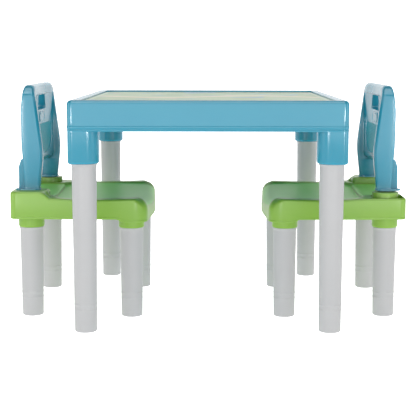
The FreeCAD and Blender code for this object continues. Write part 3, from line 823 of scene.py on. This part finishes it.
def leg_profile(height, top, foot, spigot, ring_base):
    def outer(z):
        return (foot + (top - foot) * z / height) / 2.0

    wall = 2.4
    points = [(0.05, 0.35), (outer(0) - 6.0, 0.35), (outer(0) - 5.0, 0.0)]
    for angle in quarter(18.0):
        points.append((outer(0) - 2.6 + 2.6 * math.sin(angle), 2.6 - 2.6 * math.cos(angle)))
    for base in (ring_base, ring_base + 10.1):
        for share, proud in ((-0.2, 0.0), (0.0, 0.06), (0.12, 0.22), (0.3, 0.33), (0.5, 0.35),
                             (0.7, 0.33), (0.88, 0.22), (1.0, 0.06), (1.2, 0.0)):
            z = base + 3.0 * share
            points.append((outer(z) + proud, z))
    for z in np.linspace(ring_base + 16.0, height - 8.0, 8):
        points.append((outer(z), z))
    for below, proud in ((3.0, 0.0), (2.7, 0.12), (2.4, 0.5), (1.9, 0.7), (0.6, 0.7), (0.0, 0.3)):
        points.append((top / 2.0 + proud, height - below))
    points += [(SPIGOT + 0.4, height), (SPIGOT, height + 0.4), (SPIGOT, height + spigot - 2.5),
               (SPIGOT - 2.1, height + spigot), (SPIGOT - wall, height + spigot),
               (SPIGOT - wall, height), (outer(0) - wall - 0.6, 3.0), (0.05, wall)]
    return points


for depth_name, side_y in (("front", -1), ("rear", 1)):
    for side_name, side_x in (("left", -1), ("right", 1)):
        mesh = lathe(leg_profile(TABLE_LEG_HEIGHT, top=45.0, foot=40.2, spigot=50.0,
                                 ring_base=39.0), side_x * TABLE_LEG_X, side_y * TABLE_LEG_Y)
        piece(mesh, "table_leg_" + depth_name + "_" + side_name, "table",
              "pale_grey_plastic", crease=50.0)

CHAIR_LEG_HEIGHT = 172.5
CHAIR_LEGS = (("front_left", 94.3, 143.75), ("front_right", 94.3, -143.75),
              ("rear_left", -98.0, 135.4), ("rear_right", -98.0, -135.4))
for name, x, y in CHAIR_LEGS:
    mesh = lathe(leg_profile(CHAIR_LEG_HEIGHT, top=44.5, foot=40.3, spigot=36.0, ring_base=34.5),
                 x, y)
    for chair, turn in (("left_chair", TO_LEFT), ("right_chair", TO_RIGHT)):
        piece(mesh, chair + "_leg_" + name, chair, "pale_grey_plastic", turn, 50.0)

# %% [markdown]
# ## The seat
# The seat is the most shaped part of the set: a shallow dish that is open at the front, a rim
# that runs up to two raised pads at the rear, a front edge that rolls down like a waterfall, and
# a skirt with a fine line above its lower edge. Its top is a height at every place, so one
# function says how high the skin is, and the sheet is drawn with lines along every feature.
# One fault is left: the shell of the pad at +y has three odd edges on its top, so the solver
# leaves that pad out, and only its sleeve stands there. The pad at -y is whole.

# %% Sizes of the seat
SEAT_REAR = -135.5
SEAT_FRONT = 134.0
FRONT_CORNER = 124.0
PAD_TOP = 242.0
PAD_FRONT = -65.0
PAD_FOOT = -54.0               # where the slope in front of a pad ends
PAD_INNER = 103.0
DISH_FLOOR = 216.0
DISH_HALF = 146.0
DISH_RISE = 10.0
DISH_FRONT_HALF = 134.0
SEAT_WALL = 3.0
SEAT_SOCKET = 24.75
STEP_REAR = 69.0
STEP_FRONT = 78.0
SHELF_FRONT = -64.0
SHELF_RISE = 6.0
REAR_HALF = 164.0
FRONT_HALF = 170.0
FRONT_ROLL = 21.5
SEAT_RIB_FOOT = 193.0
SEAT_RIB_HALF = 1.1
POST_Y = 126.0
TENON_REAR = -116.0
TENON_FRONT = -85.0
TENON_HALF = 7.0
TENON_CLEAR = 0.25
SLEEVE_WALL = 3.15
print("seat:", 2 * FRONT_HALF, "wide and", SEAT_FRONT - SEAT_REAR, "mm from front to rear")


def side_half(x):
    """Half the seat's width, which grows a little towards the front."""
    return REAR_HALF + (FRONT_HALF - REAR_HALF) * (x - SEAT_REAR) / (FRONT_CORNER - SEAT_REAR)


STEP_PLACES = (STEP_REAR - 2.5, STEP_REAR, STEP_REAR + 2.0, STEP_FRONT - 2.0, STEP_FRONT,
               STEP_FRONT + 2.5)
SEAT_PLAN = ([(SEAT_REAR, -REAR_HALF, 14.0)] + [(x, -side_half(x), 0.0) for x in STEP_PLACES]
             + [(FRONT_CORNER, -FRONT_HALF, 29.0), (SEAT_FRONT, 0.0, 900.0),
                (FRONT_CORNER, FRONT_HALF, 29.0)]
             + [(x, side_half(x), 0.0) for x in reversed(STEP_PLACES)]
             + [(SEAT_REAR, REAR_HALF, 14.0)])
DISH_PLAN = [(-122.0, -PAD_INNER, 18.0), (PAD_FRONT, -PAD_INNER, 12.0), (-40.0, -DISH_HALF, 16.0),
             (200.0, -DISH_FRONT_HALF, 0.0), (200.0, DISH_FRONT_HALF, 0.0),
             (-40.0, DISH_HALF, 16.0), (PAD_FRONT, PAD_INNER, 12.0), (-122.0, PAD_INNER, 18.0)]
DISH_LINE = ring(DISH_PLAN, step=6.0)
SEAT_LINE = ring(SEAT_PLAN)
dish_radius = arc_radius(DISH_HALF, DISH_RISE)


def seat_height(x, y):
    """Height of the seat's skin, without its pads and before its outer edge is rounded."""
    x = np.asarray(x, float)
    y = np.asarray(y, float)
    rim = np.interp(x, [-140.0, -60.0, -44.0, -30.0, 0.0, 60.0, 134.0],
                    [231.0, 229.8, 229.2, 228.2, 226.4, 227.6, 230.0])
    bowl = DISH_FLOOR + sag(y, FRONT_HALF + 5.0, dish_radius)
    bowl = bowl + SHELF_RISE * (1.0 - smooth(x, SHELF_FRONT - 1.0, SHELF_FRONT + 3.5))
    inside = depth_inside(np.column_stack([x, y]), DISH_LINE)
    return rim + (bowl - rim) * smooth(inside, -2.0, 7.0)


# %% Skirt, edge and dish
def edge_radius(normals):
    """The top edge is small at the sides and rear and a wide roll along the front."""
    return 5.0 + (FRONT_ROLL - 5.0) * smooth(normals[:, 0], 0.05, 0.85)


def lip_height(x):
    return 189.6 - 5.9 * smooth(x, STEP_REAR - 2.5, STEP_FRONT + 2.5)


def seat_shell():
    shell = Shell()
    plan = ring(SEAT_PLAN)
    normals = outward(plan)
    radius = edge_radius(normals)
    inner_edge = plan - normals * radius[:, None]
    top = seat_height(inner_edge[:, 0], inner_edge[:, 1])
    foot = lip_height(plan[:, 0])

    def at(inset, height):
        return shell.run(plan - normals * np.reshape(inset, (-1, 1)) * np.ones((len(plan), 1)),
                         height)

    angles = quarter(15.0)[::-1]
    runs = []
    for angle in angles:
        runs.append(at(radius * (1.0 - math.cos(angle)), top - radius * (1.0 - math.sin(angle))))
    for rise, inset in ((5.6, 0.0), (5.0, 0.1), (4.6, 0.45), (4.0, 0.5), (3.5, 0.1), (3.0, 0.0),
                        (0.9, 0.0), (0.25, 0.3), (0.0, 0.9)):
        runs.append(at(inset, foot + rise))
    runs.append(at(2.2, foot))
    runs.append(at(SEAT_WALL, foot + 0.8))
    under = np.maximum(radius - SEAT_WALL, 1.0)
    for angle in angles[::-1]:
        runs.append(at(SEAT_WALL + under * (1.0 - math.cos(angle)),
                       top - SEAT_WALL - under * (1.0 - math.sin(angle))))
    shell.skin(runs)
    lines = [looped(ring(DISH_PLAN, inset, 6.0))
             for inset in (-2.0, -0.5, 1.0, 2.5, 4.0, 5.5, 7.0)]
    across = np.linspace(-94.0, 94.0, 40)
    lines += [np.column_stack([np.full(40, SHELF_FRONT + forward), across])
              for forward in (-1.0, 0.0, 0.8, 1.6, 2.4, 3.5)]
    shell.sheet(runs[0], seat_height, lines=lines, spacing=8.0)
    shell.sheet(runs[-1], lambda x, y: seat_height(x, y) - SEAT_WALL, lines=lines[:7:3] + lines[7::2],
                spacing=12.0, up=False)
    return shell.finish()


seat_mesh = seat_shell()
print("seat skin:", len(seat_mesh.polygons), "faces")


# %% Pads, ribs, sockets and pockets of the seat
def on_side(corners, side):
    """The left-hand outline as it is, or turned over for the right-hand side."""
    if side < 0:
        corners = [(x, -y, radius) for x, y, radius in reversed(corners)]
    return corners


def pad_plan(side):
    """Outline of a pad, with a tongue along the outside that carries its slope."""
    return on_side([(SEAT_REAR, PAD_INNER, 8.0), (PAD_FRONT, PAD_INNER, 8.0),
                    (PAD_FRONT, 134.0, 12.0), (PAD_FOOT, 150.0, 8.0),
                    (PAD_FOOT, side_half(PAD_FOOT), 6.0), (SEAT_REAR, REAR_HALF, 14.0)], side)


def pad_hollow_plan(side):
    inner, outer = PAD_INNER + SEAT_WALL, side_half(PAD_FRONT) - SEAT_WALL
    front = PAD_FRONT - 8.0
    return on_side([(SEAT_REAR + SEAT_WALL, inner, 5.0), (front, inner, 5.0),
                    (front, outer, 25.0),
                    (SEAT_REAR + SEAT_WALL, REAR_HALF - SEAT_WALL, 11.0)], side)


def pad_top(x, y):
    """The top of a pad, which slopes down to the rim in front along its outer side."""
    outside = smooth(np.abs(y), 126.0, 152.0)
    return PAD_TOP - 14.0 * outside * smooth(x, PAD_FRONT - 12.0, PAD_FOOT - 1.0)


def pad_shell(side):
    shell = Shell()
    plan = pad_plan(side)
    last = shell.run(ring(plan, SOCKET_FLUSH), 219.0)
    shell.cap(last, up=False)
    soft = 5.5
    for angle in quarter(11.25):
        line = ring(plan, SOCKET_FLUSH + soft * (1.0 - math.cos(angle)))
        now = shell.run(line, pad_top(line[:, 0], line[:, 1]) - soft * (1.0 - math.sin(angle)))
        shell.band(last, now)
        last = now
    shell.sheet(last, pad_top, spacing=4.0)
    return shell.finish()


def strip(points, half, low, axes):
    """A thin upright rib whose top follows the skin."""
    shell = Shell()
    u = np.array(points)
    across = np.concatenate([u, u[::-1]])
    sides = np.concatenate([np.full(len(u), half[0]), np.full(len(u), half[1])])
    plan = np.column_stack([across, sides])
    if axes == "yxz":
        high = seat_height(sides, across) - 1.8
    else:
        high = seat_height(across, sides) - 1.8
    bottom = shell.run(plan, low)
    top = shell.run(plan, high)
    shell.band(bottom, top)
    count = len(u)
    for i in range(count - 1):
        a, b = i, 2 * count - 1 - i
        shell.faces.append((bottom[a], bottom[b], bottom[b - 1], bottom[a + 1]))
        shell.faces.append((top[a], top[a + 1], top[b - 1], top[b]))
    return shell.finish(axes)


def under_skin(x, y):
    """A level inside the thickness of the skin, which falls away along the rolled front."""
    inside = depth_inside(np.column_stack([x, y]), SEAT_LINE)
    short = np.clip(FRONT_ROLL - inside, 0.0, FRONT_ROLL)
    fallen = FRONT_ROLL - np.sqrt(FRONT_ROLL ** 2 - short ** 2)
    return np.minimum(seat_height(x, y), 229.0) - 1.5 - fallen


def seat_socket(x, y):
    """Socket for a chair leg; its top is lost in the skin above it."""
    shell = Shell()
    plan = circle() * SEAT_SOCKET + (x, y)
    top = 239.5 if x < 0 else under_skin(plan[:, 0], plan[:, 1])
    runs = [shell.run(plan, top), shell.run(plan, 205.0)]
    for angle in quarter(18.0):
        radius = SEAT_SOCKET - 0.3 - 2.6 * (1.0 - math.cos(angle))
        runs.append(shell.run(circle() * radius + (x, y),
                              CHAIR_LEG_HEIGHT + 2.6 * (1.0 - math.sin(angle))))
    for radius, height in ((BORE + 0.6, CHAIR_LEG_HEIGHT), (BORE, CHAIR_LEG_HEIGHT + 0.6),
                           (BORE, CHAIR_LEG_HEIGHT + 37.5)):
        runs.append(shell.run(circle() * radius + (x, y), height))
    shell.skin(runs)
    shell.cap(runs[0])
    shell.cap(runs[-1])
    return shell.finish()


def tenon_plan(side, room=0.0):
    """Outline of the peg under a post, with some room round it."""
    return rectangle(TENON_REAR - room, TENON_FRONT + room, side * POST_Y - TENON_HALF - room,
                     side * POST_Y + TENON_HALF + room, 0.0)


def faces_of(mesh):
    """Centres in millimetres and normals of all faces."""
    centres = np.array([face.center for face in mesh.polygons]) * 1000.0
    return centres, np.array([face.normal for face in mesh.polygons])


seat_mesh = combine(seat_mesh, [pad_shell(-1), pad_shell(1)], "UNION")
hollows = [plate(pad_hollow_plan(side), 205.0, PAD_TOP - SEAT_WALL) for side in (-1, 1)]
seat_mesh = combine(seat_mesh, hollows, "DIFFERENCE")
seat_parts = []
for x in (-67.0, -2.0, 63.0):
    seat_parts.append(strip(np.linspace(-163.5, 163.5, 50), (x - SEAT_RIB_HALF, x + SEAT_RIB_HALF),
                            SEAT_RIB_FOOT, "yxz"))
for y in (-98.0, -33.0, 33.0, 98.0):
    seat_parts.append(strip(np.linspace(-134.0, 113.0, 130), (y - SEAT_RIB_HALF, y + SEAT_RIB_HALF),
                            SEAT_RIB_FOOT + 0.05, "xyz"))
for name, x, y in CHAIR_LEGS:
    seat_parts.append(seat_socket(x, y))
sleeve_room = TENON_CLEAR + SLEEVE_WALL
seat_parts += [plate(tenon_plan(side, sleeve_room), 212.0, 240.0) for side in (-1, 1)]
seat_mesh = combine(seat_mesh, seat_parts, "UNION")
pockets = [plate(tenon_plan(side, TENON_CLEAR), 215.2, PAD_TOP + 1.0) for side in (-1, 1)]
seat_mesh = combine(seat_mesh, pockets, "DIFFERENCE")


def dish_faces(mesh):
    """True for the upward faces of the dish that a child sits on: a satin grain, and a brighter green
    painted on as the light on them.
    """
    centres, normals = faces_of(mesh)
    in_dish = depth_inside(centres[:, :2], DISH_LINE) > 4.0
    return in_dish & (normals[:, 2] > 0.5) & (centres[:, 2] > 205.0)


sat_on = dish_faces(seat_mesh)
print("faces of the satin dish:", int(sat_on.sum()))
for chair, turn in (("left_chair", TO_LEFT), ("right_chair", TO_RIGHT)):
    piece(seat_mesh, chair + "_seat", chair, "leaf_green_plastic", turn,
          second=("satin_green_painted_light_plastic", sat_on))

# %% [markdown]
# ## The backrest
# The back is one blue moulding: two posts and a top bar that belly towards the sitter, a hollow
# panel between them with a carrying slot, a field of fine grip, and a lower edge that rolls
# backwards. Seen from the front it is again a height at every place, now measured forwards, so it
# is made as the seat was: an outline, a sheet in front, a sheet behind and walls between.

# %% Sizes of the backrest
BACK_HALF = 138.0
EDGE = 118.0
TOP = 442.0
BAR_FOOT = 421.0
ROLL_FOOT = 281.0
ROLL = 14.0
TOP_FRONT = -91.0
TOP_REAR = -110.0
BAR_FACE = -94.0
PANEL_FACE = -96.0
PANEL_WALL = 3.8
BAR_WALL = 4.2
SIDE_VIEW = [(-82.0, PAD_TOP, 0.0), (-74.5, 310.0, 150.0), (TOP_FRONT, TOP, 0.0),
             (TOP_REAR, TOP, 0.0), (-115.5, 395.0, 80.0), (-115.0, 330.0, 200.0),
             (-109.5, PAD_TOP, 0.0)]
side_line = ring(SIDE_VIEW, step=6.0)
crown = int(np.argmin(np.hypot(side_line[:, 0] - TOP_FRONT, side_line[:, 1] - TOP)))
rear_crown = int(np.argmin(np.hypot(side_line[:, 0] - TOP_REAR, side_line[:, 1] - TOP)))
front_line = side_line[:crown + 1]
rear_line = side_line[rear_crown:][::-1]
SLOT_TOP = 419.0
SLOT_FOOT = 390.5
SLOT_SOFT = 1.6
SLOT_PLAN = [(-50.0, SLOT_FOOT, 5.0), (50.0, SLOT_FOOT, 5.0), (40.0, SLOT_TOP, 5.0),
             (-40.0, SLOT_TOP, 5.0)]
GRIP_PLAN = [(-100.0, 300.0, 45.0), (100.0, 300.0, 45.0), (100.0, 361.5, 8.0),
             (-100.0, 361.5, 8.0)]
GRIP_LINE = ring(GRIP_PLAN, step=5.0)
RECESS = [(-EDGE, 0.0, 0.0), (EDGE, 0.0, 0.0), (EDGE, BAR_FOOT, 3.0), (-EDGE, BAR_FOOT, 3.0)]
RECESS_LINE = ring(RECESS, step=6.0)
panel_radius = arc_radius(EDGE, 7.0)
bar_radius = arc_radius(EDGE, 6.5)
print("backrest:", 2 * BACK_HALF, "wide and", TOP - PAD_TOP, "mm high over the pads")


def panel_face(y):
    return PANEL_FACE + sag(y, EDGE, panel_radius)


def rolled_panel(y, z):
    """Front of the panel, which rolls backwards along its lower edge."""
    roll = np.clip(1.0 - (z - ROLL_FOOT) / ROLL, 0.0, 1.0)
    return panel_face(y) - ROLL * (1.0 - np.sqrt(1.0 - roll ** 2))


def frame_face(y, z):
    """Front of the posts and the top bar, which is hollowed between the posts."""
    front = np.interp(z, front_line[:, 1], front_line[:, 0])
    bar = BAR_FACE + sag(y, EDGE, bar_radius)
    bar = np.where(np.abs(y) < EDGE, bar, bar + 0.4 * (np.abs(y) - EDGE))
    share = smooth(z, 400.0, 415.0)
    hollowed = -np.logaddexp(-front * 1.5, -bar * 1.5) / 1.5
    return front + (hollowed - front) * share


def back_front(y, z):
    """How far forward the skin of the backrest is at any place."""
    y = np.asarray(y, float)
    z = np.asarray(z, float)
    outer = frame_face(y, z)
    where = np.column_stack([y, z])
    grip = depth_inside(where, GRIP_LINE)
    inner = rolled_panel(y, z) - 0.8 * smooth(grip, 0.0, 1.0)
    inside = depth_inside(where, RECESS_LINE)
    drop = np.maximum(outer - inner, 0.05)
    big = np.minimum(2.4, 0.6 * drop)
    small = np.minimum(1.5, 0.35 * drop)
    lip = np.clip(1.0 + inside / 2.4, 0.0, 1.0)
    upper = outer - big * (1.0 - np.sqrt(1.0 - lip ** 2))
    wall = np.clip(inside / 0.5, 0.0, 1.0)
    middle = (outer - big) + (inner + small - outer + big) * wall
    foot = np.clip(1.0 - (inside - 0.5) / 1.5, 0.0, 1.0)
    lower = inner + small * (1.0 - np.sqrt(1.0 - foot ** 2))
    return np.where(inside <= 0.0, upper, np.where(inside <= 0.5, middle, lower))


def back_rear(y, z):
    return np.interp(z, rear_line[:, 1], rear_line[:, 0])


# %% The backrest's skin
BACK_PLAN = [(EDGE, PAD_TOP, 0.0), (BACK_HALF, PAD_TOP, 0.0), (BACK_HALF, TOP, 24.0),
             (-BACK_HALF, TOP, 24.0), (-BACK_HALF, PAD_TOP, 0.0), (-EDGE, PAD_TOP, 0.0),
             (-EDGE, ROLL_FOOT, 0.0), (EDGE, ROLL_FOOT, 0.0)]


def back_shell():
    shell = Shell()
    plan = ring(BACK_PLAN, step=7.0)
    normals = outward(plan)
    on_outside = (np.abs(plan[:, 0]) > BACK_HALF - 25.0) & (plan[:, 1] > 243.0)
    on_outside |= plan[:, 1] > 420.0
    on_outside &= (np.abs(plan[:, 0]) > EDGE + 2.0) | (plan[:, 1] > 425.0)
    soft = np.where(on_outside, 5.5 + 3.0 * smooth(normals[:, 1], 0.3, 1.0), 0.0)
    rear_soft = np.where(on_outside, 2.6 + 4.1 * smooth(normals[:, 1], 0.3, 1.0), 0.0)

    def edge(radius, height, way):
        inner = plan - normals * radius[:, None]
        level = height(inner[:, 0], inner[:, 1])
        made = []
        for angle in quarter(15.0):
            inset = radius * (1.0 - math.cos(angle))
            made.append(shell.run(plan - normals * inset[:, None],
                                  level - way * radius * (1.0 - math.sin(angle))))
        return made

    front = edge(soft, back_front, 1.0)
    rear = edge(rear_soft, back_rear, -1.0)
    shell.skin(rear[::-1] + front)
    slot_runs = []
    for way, height in ((1.0, back_front), (-1.0, back_rear)):
        line = ring(SLOT_PLAN, -SLOT_SOFT, 6.0)
        level = height(line[:, 0], line[:, 1])
        made = []
        for angle in quarter(18.0):
            made.append(shell.run(ring(SLOT_PLAN, -SLOT_SOFT * (1.0 - math.cos(angle)), 6.0),
                                  level - way * SLOT_SOFT * (1.0 - math.sin(angle))))
        slot_runs.append(made)
    shell.skin(slot_runs[0][::-1] + slot_runs[1])
    lines = []
    for inset in (-2.4, -1.6, -0.9, -0.4, -0.15, 0.0, 0.25, 0.5, 0.7, 1.1, 2.0):
        lines.append(looped(ring(RECESS, inset, 6.0)))
    for rise in (0.15, 0.6, 1.4, 2.6, 4.4, 7.0, 10.0, ROLL):
        across = np.linspace(-EDGE + 2.5, EDGE - 2.5, 40)
        lines.append(np.column_stack([across, np.full(40, ROLL_FOOT + rise)]))
    for inset in (0.0, 0.5, 1.0):
        lines.append(looped(ring(GRIP_PLAN, inset, 5.0)))
    shell.sheet(front[-1], back_front, [slot_runs[0][-1]], lines, spacing=7.0)
    shell.sheet(rear[-1], back_rear, [slot_runs[1][-1]], spacing=9.0, up=False)
    return shell.finish("yzx")


back_mesh = back_shell()
print("backrest skin:", len(back_mesh.polygons), "faces")


# %% Hollows behind the panel, between its ribs
def rear_hollow(corners, depth_behind):
    """A cutter from behind the back up to a wall's thickness from the front skin."""
    shell = Shell()
    plan = ring(corners, step=8.0)
    far = shell.run(plan, -140.0)
    near = shell.run(plan, depth_behind(plan[:, 0], plan[:, 1]))
    shell.band(far, near)
    shell.cap(far, up=False)
    shell.sheet(near, depth_behind, spacing=9.0)
    return shell.finish("yzx")


def behind_panel(y, z):
    return rolled_panel(y, z) - PANEL_WALL


def behind_frame(y, z):
    return frame_face(y, z) - BAR_WALL


walls = [-EDGE, -72.0, -24.0, 24.0, 72.0, EDGE]
field_foot = ROLL_FOOT + 3.0
field_top = SLOT_FOOT - 3.0
field_middle = (ROLL_FOOT + field_top) / 2.0
cutters = []
for left, right in zip(walls[:-1], walls[1:]):
    y0, y1 = left + 1.2, right - 1.2
    for z0, z1 in ((field_foot, field_middle - 1.2), (field_middle + 1.2, field_top)):
        cutters.append(rear_hollow(rectangle(y0, y1, z0, z1, 1.5), behind_panel))
    cutters.append(rear_hollow(rectangle(y0, y1, BAR_FOOT + 0.6, TOP - 7.5, 1.5), behind_frame))
for side in (-1, 1):
    beside = [(56.5, field_top + 2.4, 1.5), (EDGE - 1.2, field_top + 2.4, 1.5),
              (EDGE - 1.2, BAR_FOOT - 2.4, 1.5), (46.5, BAR_FOOT - 2.4, 1.5)]
    post = [(EDGE + 2.4, 250.0, 2.0), (BACK_HALF - 3.0, 250.0, 2.0),
            (BACK_HALF - 3.0, TOP - 7.5, 12.0), (EDGE + 2.4, TOP - 7.5, 1.5)]
    for corners, depth in ((beside, behind_panel), (post, behind_frame)):
        if side < 0:
            corners = [(-y, z, radius) for y, z, radius in reversed(corners)]
        cutters.append(rear_hollow(corners, depth))
back_mesh = combine(back_mesh, cutters, "DIFFERENCE")

# %% Flanges, tenons and the fins behind the posts
extras = []
for side in (-1, 1):
    inner, outer = sorted((side * 111.0, side * 141.0))
    extras.append(plate(rectangle(-128.0, -80.0, inner, outer, 13.0), PAD_TOP, PAD_TOP + 3.0,
                        soften=1.0))
    extras.append(plate(tenon_plan(side), PAD_TOP - 26.0, PAD_TOP + 1.0))
    fin = [(-122.0, 242.5, 0.0), (-83.5, 242.5, 0.0), (-77.5, 301.0, 0.0), (-117.0, 301.0, 3.0),
           (-121.7, 287.0, 14.0)]
    low, high = sorted((side * 127.1, side * 130.5))
    extras.append(plate(fin, low, high, axes="xzy"))
back_mesh = combine(back_mesh, extras, "UNION")


def grip_faces(mesh):
    """True for the faces of the ribbed field that the fingers meet."""
    centres, normals = faces_of(mesh)
    return (depth_inside(centres[:, 1:], GRIP_LINE) > 0.4) & (normals[:, 0] > 0.5)


gripped = grip_faces(back_mesh)
print("faces of the grip field:", int(gripped.sum()))
# The ribbed field takes the grip finish, whose brighter blue is painted light lifting the shade among
# the ribs.
for chair, turn in (("left_chair", TO_LEFT), ("right_chair", TO_RIGHT)):
    piece(back_mesh, chair + "_backrest", chair, "sky_blue_plastic", turn,
          second=("blue_grip_painted_light_plastic", gripped))


# %% The plain oval badge
def badge_shell():
    plan = rectangle(-32.0, 32.0, 366.0, 386.0, 9.99)
    shell = Shell()
    last = shell.run(ring(plan, step=4.0), -97.2)
    shell.cap(last, up=False)
    bend = panel_face(ring(plan, step=4.0)[:, 0]) - PANEL_FACE
    for inset, height in ((0.0, -95.6), (0.2, -95.05), (0.7, -94.7), (1.4, -94.6), (2.2, -94.75),
                          (2.6, -95.0)):
        line = ring(plan, inset, 4.0)
        now = shell.run(line, height + bend)
        shell.band(last, now)
        last = now
    shell.sheet(last, lambda y, z: panel_face(y) - PANEL_FACE - 95.0, spacing=4.0)
    return shell.finish("yzx")


badge_mesh = badge_shell()
for chair, turn in (("left_chair", TO_LEFT), ("right_chair", TO_RIGHT)):
    piece(badge_mesh, chair + "_badge", chair, "sky_blue_plastic", turn)


# %% [markdown]
# ## Floor, light and camera
# The set stands on a plain pale floor that runs up behind it in one sweep, so no horizon shows.
# The bright room and floor give nearly all the light, so shadows stay soft, and a small key light
# from the upper left adds a little direction. Cards that show only in the gloss put a pale sheen on
# the faces and bright spots on the corners. The room is dimmer in the gloss than it is as light,
# which keeps the colours of the shaded parts strong.

# %% Studio
ROOM_GLOW = 0.74
ROOM_GLOW_MIRRORED = 0.12
FLOOR_GLOW = 1.15
FLOOR_GLOW_MIRRORED = 0.22


def studio_floor():
    profile = [(-5.0, 0.0), (4.0, 0.0)]
    profile += [(4.0 + 2.0 * math.sin(a), 2.0 - 2.0 * math.cos(a))
                for a in np.radians(np.arange(9.0, 91.0, 9.0))]
    profile.append((6.0, 7.0))
    points = [(x, y, z - 0.0002) for y, z in profile for x in (-7.0, 7.0)]
    faces = [(2 * i, 2 * i + 1, 2 * i + 3, 2 * i + 2) for i in range(len(profile) - 1)]
    mesh = bpy.data.meshes.new("studio_floor")
    mesh.from_pydata(points, [], faces)
    mesh.polygons.foreach_set("use_smooth", [True] * len(mesh.polygons))
    floor = as_object(mesh, "studio_floor")
    material = bpy.data.materials.new("white_floor")
    material.use_nodes = True
    tree = material.node_tree
    shader = tree.nodes["Principled BSDF"]
    bath(shader, {"Roughness": 0.9, "Specular IOR Level": 0.1,
                  "Emission Color": (1.0, 1.0, 1.0, 1.0)})
    mirrored = node(tree, "ShaderNodeLightPath").outputs["Is Glossy Ray"]
    place = node(tree, "ShaderNodeTexCoord").outputs["Object"]
    paper = remap(tree, noise(tree, place, 30.0, 4.0), 0.3, 0.7)
    tree.links.new(blend_colour(tree, paper, (0.86, 0.86, 0.86, 1.0), (0.90, 0.90, 0.90, 1.0)),
                   shader.inputs["Base Color"])
    tree.links.new(remap(tree, mirrored, 0.0, 1.0, FLOOR_GLOW, FLOOR_GLOW_MIRRORED),
                   shader.inputs["Emission Strength"])
    mesh.materials.append(material)
    floor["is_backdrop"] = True


def soft_light(name, place, target, size, power, shine_only=True):
    """An area light; with shine_only it shows in the gloss and lights nothing else."""
    data = bpy.data.lights.new(name, "AREA")
    data.shape = "RECTANGLE"
    data.size, data.size_y = size
    data.energy = power
    lamp = bpy.data.objects.new(name, data)
    bpy.context.scene.collection.objects.link(lamp)
    lamp.location = place
    lamp.rotation_euler = (Vector(target) - Vector(place)).to_track_quat("-Z", "Y").to_euler()
    lamp.visible_diffuse = not shine_only


studio_floor()
soft_light("shine_card", (0.0, -3.1, 0.85), (0.0, 0.0, 0.6), (4.0, 1.6), 52.0)
soft_light("edge_card", (0.0, -1.2, 3.0), (0.0, 0.0, 0.4), (2.6, 3.6), 95.0)
soft_light("key_light", (-1.0, -1.8, 2.4), (0.0, 0.0, 0.25), (0.7, 0.7), 5.0, shine_only=False)
for side in (-1, 1):
    soft_light("corner_light", (side * 1.3, -2.5, 0.27), (side * 0.25, -0.3, 0.39), (0.3, 0.08),
               10.0)
    soft_light("side_card", (side * 3.0, -1.2, 0.8), (0.0, 0.0, 0.4), (1.6, 1.6), 22.0)
world = bpy.data.worlds.new("studio")
bpy.context.scene.world = world
world.use_nodes = True
sky = world.node_tree
ray = node(sky, "ShaderNodeLightPath")
glow = remap(sky, ray.outputs["Is Glossy Ray"], 0.0, 1.0, ROOM_GLOW, ROOM_GLOW_MIRRORED)
sky.links.new(maths(sky, "MAXIMUM", glow, ray.outputs["Is Camera Ray"]),
              sky.nodes["Background"].inputs["Strength"])
bath(sky.nodes["Background"], {"Color": (1.0, 1.0, 1.0, 1.0)})
bpy.context.scene.view_settings.view_transform = "Standard"
print("lights:", sorted(lamp.name for lamp in bpy.data.lights))

# %% Camera
camera_data = bpy.data.cameras.new("camera")
camera = bpy.data.objects.new("camera", camera_data)
bpy.context.scene.collection.objects.link(camera)
camera.location = (0.00675, -2.3185, 0.50015)
camera.rotation_euler = (math.radians(90.0 - 7.22), -0.002, -0.0024)
camera_data.sensor_width = 36.0
camera_data.lens = 99.32
camera_data.shift_x = -0.01625
camera_data.shift_y = -0.01957
bpy.context.scene.camera = camera

# %% Sizes before and after
size = {"frame": frame_box, "model": [list(corner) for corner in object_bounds()]}
for key in size:
    print(key, [[round(value, 4) for value in corner] for corner in size[key]])
